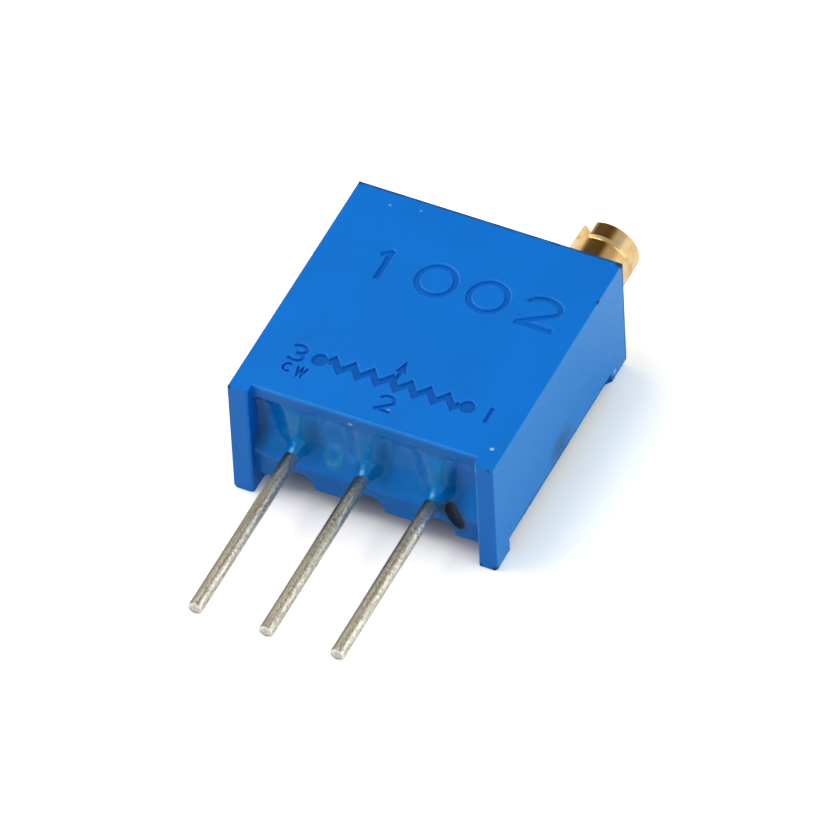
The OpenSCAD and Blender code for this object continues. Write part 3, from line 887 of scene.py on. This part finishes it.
BUBBLE = BurstBubble()
HOUSING = MouldedPolyester(
    "injection_moulded_blue_polyester",
    "#0074D8",
    "#0070D0",
    roughness=0.34,
    roughness_swing=0.05,
    grain=0.12,
    bump=0.0012,
    ior=1.5,
    sheen_level=0.42,
    sheen="#B0F4FF",
)
POTTING = CastEpoxy(
    "cast_blue_epoxy",
    "#0074CE",
    "#0082DA",
    roughness=0.25,
    roughness_swing=0.11,
    grain=0.9,
    bump=0.015,
    ior=1.5,
    sheen_level=0.33,
    sheen="#B0F4FF",
)
WIRE = DrawnTinnedWire(
    "hot_tinned_copper_wire",
    "#F4E6DA",
    "#D4C8B6",
    metallic=1.0,
    roughness=0.36,
    roughness_swing=0.08,
    grain=0.05,
    stretch=(1.0, 14.0, 1.0),
    bump=0.012,
)
BRASS = TurnedBrass(
    "turned_brass",
    "#FFDEA4",
    "#F2C078",
    metallic=1.0,
    roughness=0.17,
    roughness_swing=0.04,
    bump=0.0008,
)
# Pieces inside the body: each has the grain of its own making, and pieces of one kind share it
SILVER = Finish("fired_silver_print", "#C8C8C4", "#B4B4AE", 1.0, 0.45, grain=0.06)
SOLDER = Finish("reflowed_solder", "#C4C6C8", "#A8ACB0", 1.0, 0.25, grain=0.3)
INNER: dict[str, Finish] = {
    "screw_seal": Finish("moulded_nitrile_rubber", "#202020", "#2A2A28", roughness=0.7, grain=0.1),
    "retaining_clip": Finish(
        "rolled_spring_steel", "#B8BCC0", "#9CA0A4", 1.0, 0.35, grain=0.05, stretch=(10.0, 1.0, 1.0)
    ),
    "worm_wheel": Finish(
        "moulded_white_acetal", "#E8E6DC", "#DEDCD0", roughness=0.45, grain=0.5, ior=1.48
    ),
    "wiper_contact": Finish(
        "rolled_precious_alloy",
        "#D8C890",
        "#C4B074",
        1.0,
        0.3,
        grain=0.04,
        stretch=(1.0, 12.0, 1.0),
    ),
    "ceramic_substrate": Finish("fired_alumina", "#F2F0E8", "#E6E4DA", roughness=0.6, grain=0.08),
    "resistive_track": Finish("fired_cermet", "#2A2622", "#36302A", roughness=0.55, grain=0.06),
    "end_print_1": SILVER,
    "collector_print": SILVER,
    "end_print_3": SILVER,
    "solder_joint_1": SOLDER,
    "solder_joint_2": SOLDER,
    "solder_joint_3": SOLDER,
}


# ---------------------------------------------------------------- sub-assemblies


@dataclass(frozen=True)
class Patch:
    """A rectangle of the front face, in millimetres."""

    left: float
    right: float
    near: float
    far: float

    def holds(self, place: Vector) -> bool:
        """Says whether a place in millimetres lies over the rectangle."""
        return self.left < place.x < self.right and self.near < place.y < self.far


@dataclass
class Housing:
    """The moulded body, open at the pin end, with sunk marks in its front face."""

    mark_depth: float = 0.1
    edge_round: float = 0.05
    foot_round: float = 0.11
    # The rims of the large code, of the small figures and the symbol, and of the letters
    code_round: float = 0.08
    mark_round: float = 0.05
    letter_round: float = 0.02
    # Where all the marks stand, and where each kind of them does
    marks: Patch = Patch(-4.6, 4.6, 0.8, 7.9)
    code: Patch = Patch(-4.6, 4.6, 5.5, 7.9)
    letters: Patch = Patch(-4.6, -2.7, 0.8, 1.86)
    symbol: Patch = Patch(-2.85, 3.15, 1.8, 3.5)
    # Short edges and those in the cavity, round the bore and at the walls' ends stay as they are
    cavity_half: float = 4.1
    cavity_y: float = 0.5
    cavity_z: tuple[float, float] = (-1.7, 2.3)
    bore_r: float = 1.05
    wall_end: float = 0.38
    shortest: float = 0.2
    # Edges of a stroke that are shorter than this are closed before its rim is rounded
    shortest_in_mark: float = 0.03
    # The share of the painted shade on the figures' floors, where the symbol's floor has all of it
    figure_shade: float = 0.45

    def outer_edge(self, edge: Edge) -> bool:
        """Says whether an edge belongs to the body's outside and is worth rounding.

        Args:
            edge: an edge of the housing.

        Returns:
            True where it is rounded.
        """
        x, y, z = place = middle_of(edge)
        low_z, high_z = self.cavity_z
        deep_inside = y > self.cavity_y and low_z < z < high_z and abs(x) < self.cavity_half
        near_bore = Vector((x - SCREW_X, z - SCREW_Z)).length < self.bore_r
        # The potting lies level with the walls' ends, with no seam between them
        at_seam = abs(y - self.wall_end) < 0.01 and any(abs(z - end) < 0.01 for end in MOUTH_Z)
        long_enough = edge.calc_length() > self.shortest * MM
        left = self.in_marks(place) or deep_inside or near_bore or at_seam
        return fold(edge) >= SHARP and long_enough and not left

    def in_marks(self, place: Vector) -> bool:
        """Says whether a place in millimetres lies at a mark's rim, on its walls or its floor."""
        return self.marks.holds(place) and place.z > FRONT_Z - self.mark_depth - 0.01

    def mark_edge(self, edge: Edge) -> bool:
        """Says whether an edge is a rim of a sunk mark, level with the front face."""
        at_face = all(vert.co.z / MM > FRONT_Z - 0.005 for vert in edge.verts)
        return at_face and fold(edge) > SHARP and self.marks.holds(middle_of(edge))

    def foot_edge(self, edge: Edge) -> bool:
        """Says whether an edge is a foot's inner one at the pin end, which is well rounded."""
        at_mouth = all(abs(abs(vert.co.x) / MM - MOUTH) < SLACK for vert in edge.verts)
        return at_mouth and lies_across(edge, 0.0)

    def rim_round(self, edge: Edge) -> float:
        """How far a mark's rim is rounded: most on the large figures, least on the letters.

        Args:
            edge: an edge of the rim.

        Returns:
            The rounding in millimetres.
        """
        middle = middle_of(edge)
        if self.code.holds(middle):
            return self.code_round
        return self.letter_round if self.letters.holds(middle) else self.mark_round

    def shade_of(self, polygon: bpy.types.MeshPolygon) -> float:
        """How much painted shade a face gets: the marks' floors and the inner side of the left foot.

        Args:
            polygon: a face of the housing.

        Returns:
            The share from 0 to 1.
        """
        centre = polygon.center / MM
        if polygon.normal.x > 0.9 and abs(centre.x + MOUTH) < 0.05:
            return 1.0
        level = centre.z - (FRONT_Z - self.mark_depth)
        if abs(level) > 0.02 or polygon.normal.z < 0.9 or not self.marks.holds(centre):
            return 0.0
        return 1.0 if self.symbol.holds(centre) else self.figure_shade

    def build(self) -> Object:
        """Builds the housing from its solid, rounds its edges and marks the faces that get painted
        shade.

        Returns:
            The finished piece.
        """
        piece = copy_of_node("housing", "housing_shell")
        with editing(piece, Element.EDGES):
            round_edges(piece, self.foot_edge, self.foot_round, 4, clamp=True)
            count = round_edges(piece, self.outer_edge, self.edge_round, 3, clamp=True)
            log.info("housing: %d outer edges rounded", count)
        with editing(piece, Element.VERTS):
            # The strokes' shortest edges would cross once their rims are rounded
            pick(piece, Element.VERTS, lambda vert: self.in_marks(vert.co / MM))
            bpy.ops.mesh.remove_doubles(threshold=self.shortest_in_mark * MM)
        for size in (self.code_round, self.mark_round, self.letter_round):
            with editing(piece, Element.EDGES):
                count = round_edges(
                    piece, lambda e: self.mark_edge(e) and self.rim_round(e) == size, size, 3
                )
                log.info("housing: %d rims of marks rounded", count)
        BUBBLE.cut(piece)
        smooth_by_weight(piece, 35.0)
        # Painted shade: each face's share of the darker colour
        sunk = piece.data.attributes.new("sunk", "FLOAT", "FACE")
        for polygon in piece.data.polygons:
            sunk.data[polygon.index].value = self.shade_of(polygon)
        dress_piece(piece, HOUSING.build())
        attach(piece, "case")
        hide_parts("housing")
        return piece


@dataclass
class Potting:
    """The poured epoxy that closes the pin end: fluted between the pins, climbing up each."""

    half_width: float = MOUTH
    face_y: float = 0.43
    back_y: float = 1.4
    cuts: int = 150
    # The climb up a pin: where it starts, its height at the wire, how steeply it rises, and the
    # share of the way past the wire's skin at which it stops
    meniscus_r: float = 0.55
    meniscus_h: float = 0.5
    meniscus_power: float = 2.2
    meniscus_most: float = 1.15
    # The swelling above a pin: its half width at the pin and at the front wall, its flanks, and
    # how far below the pin it fades
    ridge_half: tuple[float, float] = (0.05, 0.25)
    left_flank: float = 0.95
    right_flank: float = 0.55
    below_pin: float = 0.35
    # The hollows between the pins: how deep, from which share of the height, and how near the
    # front wall they have risen again
    hollow: float = 0.4
    opening: tuple[float, float] = (0.03, 0.42)
    brim: float = 0.3
    # The climb up the side walls, and how far from them it reaches
    wall_climb: float = 0.12
    wall_reach: float = 0.15
    level: float = -0.05

    def ridge(self, x: float, z: float) -> float:
        """How far the epoxy swells above a pin: 1 along its middle, 0 in the hollows.

        The swelling is narrow at the pin, widens towards the front wall and falls off more
        gently on its left.

        Args:
            x: place along the pin row.
            z: height.

        Returns:
            The share of the swelling.
        """
        narrow, wide = self.ridge_half
        half = narrow + (wide - narrow) * min(max(z / MOUTH_Z[1], 0.0), 1.0)
        nearest = min(PINS, key=lambda pin: abs(x - pin))
        flank = self.left_flank if x < nearest else self.right_flank
        below = 1 - smooth_step(-z, 0.0, self.below_pin)
        return (1 - smooth_step(abs(x - nearest), half, half + flank)) * below

    def climb(self, x: float, z: float) -> float:
        """How far the epoxy has climbed the nearest pin at a place.

        Args:
            x: place along the pin row.
            z: height.

        Returns:
            The climb in millimetres.
        """
        gap = min(math.hypot(x - pin, z) for pin in PINS)
        share = max(self.meniscus_r - gap, 0.0) / (self.meniscus_r - WIRE_R)
        return self.meniscus_h * min(share, self.meniscus_most) ** self.meniscus_power

    def depth(self, x: float, z: float) -> float:
        """How far the surface lies behind the plane of its edge, in millimetres.

        Args:
            x: place along the pin row.
            z: height, from the rear wall to the front wall.

        Returns:
            The depth, negative where the epoxy climbs.
        """
        low_z, high_z = MOUTH_Z
        rise = (z - low_z) / (high_z - low_z)
        to_front, to_side = max(high_z - z, 0.0), max(self.half_width - abs(x), 0.0)
        open_floor = smooth_step(rise, *self.opening) * (1 - math.exp(-to_front / self.brim))
        hollow = self.hollow * (1 - self.ridge(x, z)) * open_floor
        # The cured face is a little wavy, but not at its edges
        edge = max(min(1.0, rise / 0.2, to_side / 0.3, to_front / 0.3), 0.0)
        wobble = 0.03 * math.sin(1.7 * x + 1.3 * z) + 0.015 * math.sin(4.3 * x - 2.2 * z + 1.0)
        # It climbs the side walls, and lies level with the ends of the front and rear walls
        wall = self.wall_climb * math.exp(-to_side / self.wall_reach)
        ends = max(min(rise / 0.1, to_front / 0.15, 1.0), 0.0)
        return self.level + hollow + wobble * edge - self.climb(x, z) - wall * ends

    def build(self) -> Object:
        """Builds the block, divides its outer face finely and shapes it.

        Returns:
            The finished piece.
        """
        low_z, high_z = MOUTH_Z
        size = (2 * self.half_width, self.back_y - self.face_y, high_z - low_z)
        piece = add_box((0.0, (self.back_y + self.face_y) / 2, (high_z + low_z) / 2), size)
        piece.name = "potting_face"
        with editing(piece):
            pick(piece, Element.FACES, lambda face: face.normal.y < -0.9)
            bpy.ops.mesh.subdivide(number_cuts=self.cuts)
        for vertex in piece.data.vertices:
            if abs(vertex.co.y / MM - self.face_y) < 1e-4:
                x, z = vertex.co.x / MM, vertex.co.z / MM
                vertex.co.y = (self.face_y + self.depth(x, z)) * MM
        BUBBLE.cut(piece)
        smooth(piece, 50.0)
        dress_piece(piece, POTTING.build())
        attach(piece, "case")
        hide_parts("potting_compound")
        return piece


@dataclass
class Terminal:
    """One pin: round tinned wire with a sheared end, flattened where it is soldered inside."""

    number: int
    x: float
    free: float = 7.3
    inside: float = 0.8
    tab: Point = (0.72, 1.555, 0.28)
    sides: int = 48
    end_round: float = 0.035
    tab_round: float = 0.03
    # The cut end: how far off flat it is, and how wide the rings are that carry the dome
    shear: float = 0.02
    ring: float = 0.07

    def shear_end(self, wire: Object) -> None:
        """Leaves the wire's end face slightly domed and off square, as the cutter does.

        Args:
            wire: the wire.
        """
        with editing(wire):
            pick(wire, Element.FACES, lambda face: face.normal.y < -0.95)
            for _ in range(2):
                bpy.ops.mesh.inset(thickness=self.ring * MM)
        for vertex in wire.data.vertices:
            offset = (vertex.co - mm(self.x, -self.free, 0.0)) / MM
            if offset.y < 0.002:
                reach = math.hypot(offset.x, offset.z) / WIRE_R
                slant = reach * 0.6 + offset.x / WIRE_R * 0.4 + 0.4
                vertex.co.y += self.shear * MM * slant

    def build(self, material: bpy.types.Material) -> Object:
        """Builds the wire and its flattened end.

        Args:
            material: the wire's finish.

        Returns:
            The finished piece.
        """
        piece = add_rod(self.x, 0.0, (-self.free, self.inside), WIRE_R, self.sides)
        piece.name = f"terminal_wire_{self.number}"
        with editing(piece, Element.EDGES):
            round_edges(piece, lambda edge: lies_across(edge, -self.free), self.end_round, 3)
        self.shear_end(piece)
        _, length, thick = self.tab
        tab = add_box((self.x, self.inside + length / 2, thick / 2 - WIRE_R), self.tab)
        with editing(tab, Element.EDGES):
            round_edges(tab, lambda edge: True, self.tab_round, 2)
        activate(piece)
        tab.select_set(True)
        bpy.ops.object.join()
        smooth(piece, 40.0)
        dress_piece(piece, material)
        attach(piece, "case")
        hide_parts(f"terminal_{self.number}")
        return piece


@dataclass
class AdjustingScrew:
    """The brass screw: its slotted head outside, and its journal, collar and worm inside."""

    head_from: float = 10.1
    head_to: float = 11.7
    radius: float = 1.095
    sides: int = 128
    rim_round: float = 0.07
    back_round: float = 0.03
    slot_round: float = 0.018
    # Between the head and the shaft
    gap: float = 0.02
    # How far the slot's cutter stands out past the head
    overshoot: float = 0.5
    groove_y: float = 10.98
    groove_w: float = 0.09
    groove_depth: float = 0.07
    slot_w: float = 0.56
    slot_depth: float = 0.76
    slot_angle: float = 127.0

    def slot_rim(self, edge: Edge) -> bool:
        """Says whether an edge runs along the slot's mouth or ends.

        Args:
            edge: an edge of the head.

        Returns:
            True where it does.
        """
        angle = math.radians(self.slot_angle)
        across = Vector((-math.sin(angle), 0.0, math.cos(angle)))
        axis = mm(SCREW_X, 0.0, SCREW_Z)
        offsets = [abs((vert.co - axis).dot(across)) / MM for vert in edge.verts]
        return all(abs(o - self.slot_w / 2) < 0.01 for o in offsets) and fold(edge) > SHARP

    def cut_groove(self, head: Object) -> None:
        """Turns the ring groove into the head's side.

        Args:
            head: the head.
        """
        for row in (-1.0, 0.0, 1.0):
            slice_across(head, self.groove_y + row * self.groove_w)
        for vertex in head.data.vertices:
            x, y, z = vertex.co
            if abs(y / MM - self.groove_y) < 0.01:
                spoke = Vector((x - SCREW_X * MM, 0.0, z - SCREW_Z * MM))
                vertex.co -= spoke.normalized() * self.groove_depth * MM

    def cut_slot(self, head: Object) -> None:
        """Cuts the screwdriver slot across the head and breaks its edges.

        Args:
            head: the uncut head.
        """
        deep = self.slot_depth + self.overshoot
        middle = (SCREW_X, self.head_to - self.slot_depth + deep / 2, SCREW_Z)
        cut_away(head, add_box(middle, (4 * self.radius, deep, self.slot_w), -self.slot_angle))
        with editing(head, Element.EDGES):
            round_edges(head, self.slot_rim, self.slot_round, 2, clamp=True)

    def head(self) -> Object:
        """Builds the head: a turned disc with a rounded rim, a ring groove and a slot.

        Returns:
            The head.
        """
        ends = (self.head_from, self.head_to)
        head = add_rod(SCREW_X, SCREW_Z, ends, self.radius, self.sides)
        head.name = "adjusting_screw_head"
        self.cut_groove(head)
        with editing(head, Element.EDGES):
            round_edges(head, lambda edge: lies_across(edge, self.head_to), self.rim_round, 4)
            round_edges(head, lambda edge: lies_across(edge, self.head_from), self.back_round, 1)
        self.cut_slot(head)
        smooth_by_weight(head, 24.0)
        return head

    def shaft(self) -> Object:
        """Copies the inner part of the screw, cut off just inside the body's end face.

        Returns:
            The shaft.
        """
        shaft = copy_of_node("adjusting_screw", "adjusting_screw_shaft")
        slice_across(shaft, self.head_from - self.gap, clear_outer=True, use_fill=True)
        smooth(shaft, 30.0)
        return shaft

    def build(self) -> tuple[Object, Object]:
        """Builds the head and the shaft.

        Returns:
            Both pieces.
        """
        head, shaft = self.head(), self.shaft()
        brass = BRASS.build()
        for piece in (head, shaft):
            dress_piece(piece, brass)
            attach(piece, "adjuster")
            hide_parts("adjusting_screw")
        return head, shaft


@dataclass
class InnerPieces:
    """The pieces that the closed body hides: they keep their solids and get their own finishes."""

    finishes: dict[str, Finish] = field(default_factory=lambda: INNER)

    def build(self) -> None:
        """Gives each inner solid its material."""
        kinds = dict.fromkeys(self.finishes.values())
        made = {finish.name: finish.build() for finish in kinds}
        for node, finish in self.finishes.items():
            dress_piece(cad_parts[node], made[finish.name])


# ---------------------------------------------------------------- studio


@dataclass(frozen=True)
class Lamp:
    """A square soft lamp: where it stands, its side in millimetres, and its light.

    Its level is how bright it makes a white surface that faces it, where 1 is white.
    """

    name: str
    towards: Point
    size: float
    level: float
    colour: str
    distance: float = 160.0

    def hang(self, aim: Point) -> None:
        """Hangs the lamp in its place.

        Args:
            aim: the place that it shines on, in millimetres.
        """
        away = Vector(self.towards).normalized()
        data = bpy.data.lights.new(self.name, "AREA")
        data.shape, data.size = "SQUARE", self.size * MM
        data.energy = self.level * (math.pi * self.distance * MM) ** 2
        data.color = linear(self.colour)[:3]
        lamp = bpy.data.objects.new(self.name, data)
        lamp.location = Vector(aim) * MM + away * self.distance * MM
        lamp.rotation_mode = "QUATERNION"
        lamp.rotation_quaternion = away.to_track_quat("Z", "Y")
        bpy.context.scene.collection.objects.link(lamp)


@dataclass
class Studio:
    """A plain white table in soft light, and the camera."""

    floor_size: float = 600.0
    aim: Point = (0.0, 5.0, -0.015)
    azimuth: float = 27.615
    elevation: float = 47.103
    roll: float = -3.228
    distance: float = 481.09
    slide: tuple[float, float] = (0.431, 1.249)
    lens: float = 637.78
    lamps: tuple[Lamp, ...] = (
        Lamp("key", (-3.2, 0.2, 4.83), 150.0, 0.62, "#FFFFFF"),
        Lamp("fill", (2.6, 0.0, 1.3), 160.0, 0.36, "#E4FFF8"),
    )
    # The tent's colour, and the two heights between which its level goes from one to another
    tent: str = "#F6F8FC"
    tent_steps: Step = (0.3, 0.55, 0.95, 0.5)
    # The opening's colour, the way to it, and how its level falls as a ray meets it more squarely
    opening: str = "#FFD278"
    opening_towards: Point = (-0.316, 0.603, 0.7325)
    opening_steps: Step = (0.79, 0.94, 1.0, 0.14)
    # The card as light's rays, mirrors and the camera see it, and as the camera does in the shade
    card: Colour = (0.6, 0.6, 0.6, 1.0)
    card_mirrored: Colour = (0.95, 0.95, 0.95, 1.0)
    card_seen: Colour = (1.66, 1.56, 1.44, 1.0)
    card_under: Colour = (0.48, 0.46, 0.42, 1.0)
    # The body's outline on the table, as axis, middle and half size, and the shade's soft edge
    outline: tuple[tuple[Axis, float, float], ...] = ((Axis.X, 0.0, 4.8), (Axis.Y, 5.0, 5.2))
    soft_edge: float = 1.8

    def place_camera(self) -> None:
        """Sets up the long lens, looking down at the part from the pin end."""
        a, e, r = (math.radians(v) for v in (self.azimuth, self.elevation, self.roll))
        back = Vector((math.sin(a) * math.cos(e), -math.cos(a) * math.cos(e), math.sin(e)))
        level = Vector((math.cos(a), math.sin(a), 0.0))
        raised = back.cross(level)
        right = math.cos(r) * level + math.sin(r) * raised
        up = -math.sin(r) * level + math.cos(r) * raised
        eye = Vector(self.aim) - self.slide[0] * right - self.slide[1] * up + self.distance * back
        data = bpy.data.cameras.new("camera")
        data.lens, data.sensor_width = self.lens, 36.0
        data.clip_start, data.clip_end = 0.01, 5.0
        camera = bpy.data.objects.new("camera", data)
        turn = Matrix((right, up, back)).transposed().to_4x4()
        camera.matrix_world = Matrix.Translation(eye * MM) @ turn
        bpy.context.scene.collection.objects.link(camera)
        bpy.context.scene.camera = camera

    def light(self) -> None:
        """Lights the part from the left, inside a pale tent with a dark opening at the back."""
        for lamp in self.lamps:
            lamp.hang(self.aim)
        world = bpy.data.worlds.new("room")
        bpy.context.scene.world = world
        tree = cleared_tree(world)
        path = add_node(tree, "ShaderNodeLightPath").outputs
        sky = add_node(tree, "ShaderNodeTexCoord").outputs["Generated"]
        height = Mask(add_node(tree, "ShaderNodeSeparateXYZ", {0: sky}).outputs[Axis.Z])
        level = height.step(*self.tent_steps)
        # The opening stands behind the part: the top face and the screw's back mirror it
        aimed = {"operation": "DOT_PRODUCT", 0: sky, 1: self.opening_towards}
        towards = Mask(add_node(tree, "ShaderNodeVectorMath", aimed).outputs["Value"])
        closed = towards.step(*self.opening_steps)
        tones = {"data_type": "RGBA", 0: closed, 6: self.opening, 7: self.tent}
        tone = add_node(tree, "ShaderNodeMix", tones).outputs[2]
        lit = {"Color": tone, "Strength": level * closed}
        room = add_node(tree, "ShaderNodeBackground", lit).outputs[0]
        white = {"Color": "#FFFFFF", "Strength": 1.0}
        blank = add_node(tree, "ShaderNodeBackground", white).outputs[0]
        rays = {0: path["Is Camera Ray"], 1: room, 2: blank}
        seen = add_node(tree, "ShaderNodeMixShader", rays).outputs[0]
        add_node(tree, "ShaderNodeOutputWorld", {"Surface": seen})

    def under_body(self, tree: Tree) -> Mask:
        """Marks the part of the table that lies under the body, where no light gets in.

        Args:
            tree: the table's node tree.

        Returns:
            0 outside the body's outline, rising to 1 under it.
        """
        place = add_node(tree, "ShaderNodeTexCoord").outputs["Object"]
        axes = add_node(tree, "ShaderNodeSeparateXYZ", {0: place}).outputs
        across, along = (
            abs(Mask(axes[axis]) - middle * MM).step(half * MM, (half - self.soft_edge) * MM)
            for axis, middle, half in self.outline
        )
        return across * along

    def lay_floor(self) -> None:
        """Lays the white table, which shows as white but keeps the part's shadow."""
        deselect_all()
        bpy.ops.mesh.primitive_plane_add(
            size=self.floor_size * MM, location=mm(0.0, 0.0, -FRONT_Z)
        )
        floor = bpy.context.object
        floor.name = "table"
        material = bpy.data.materials.new("white_card")
        tree = cleared_tree(material)
        path = add_node(tree, "ShaderNodeLightPath").outputs
        shades = {0: self.under_body(tree), 6: self.card_seen, 7: self.card_under}
        white = add_node(tree, "ShaderNodeMix", {"data_type": "RGBA"} | shades).outputs[2]
        # Rays of light see a grey card, mirrors a paler one and the camera an over-exposed one
        tone: Socket | Colour = self.card
        for ray, colour in (("Is Glossy Ray", self.card_mirrored), ("Is Camera Ray", white)):
            mixed = {"data_type": "RGBA", 0: path[ray], 6: tone, 7: colour}
            tone = add_node(tree, "ShaderNodeMix", mixed).outputs[2]
        card = add_node(tree, "ShaderNodeBsdfDiffuse", {"Color": tone}).outputs[0]
        add_node(tree, "ShaderNodeOutputMaterial", {"Surface": card})
        dress_piece(floor, material)

    def build(self) -> None:
        """Sets camera, lamps, table and colour management."""
        bpy.context.scene.view_settings.view_transform = "Standard"
        self.place_camera()
        self.light()
        self.lay_floor()


def main() -> None:
    """Builds the studio and the part."""
    logging.basicConfig(level=logging.INFO, format="%(name)s: %(message)s")
    Studio().build()
    Housing().build()
    log.info("housing built")
    Potting().build()
    log.info("potting built")
    wire = WIRE.build()
    for number, x in enumerate(PINS, start=1):
        Terminal(number, x).build(wire)
        log.info("terminal %d built", number)
    AdjustingScrew().build()
    log.info("adjusting screw built")
    InnerPieces().build()
    deselect_all()


if __name__ == "__main__":
    main()
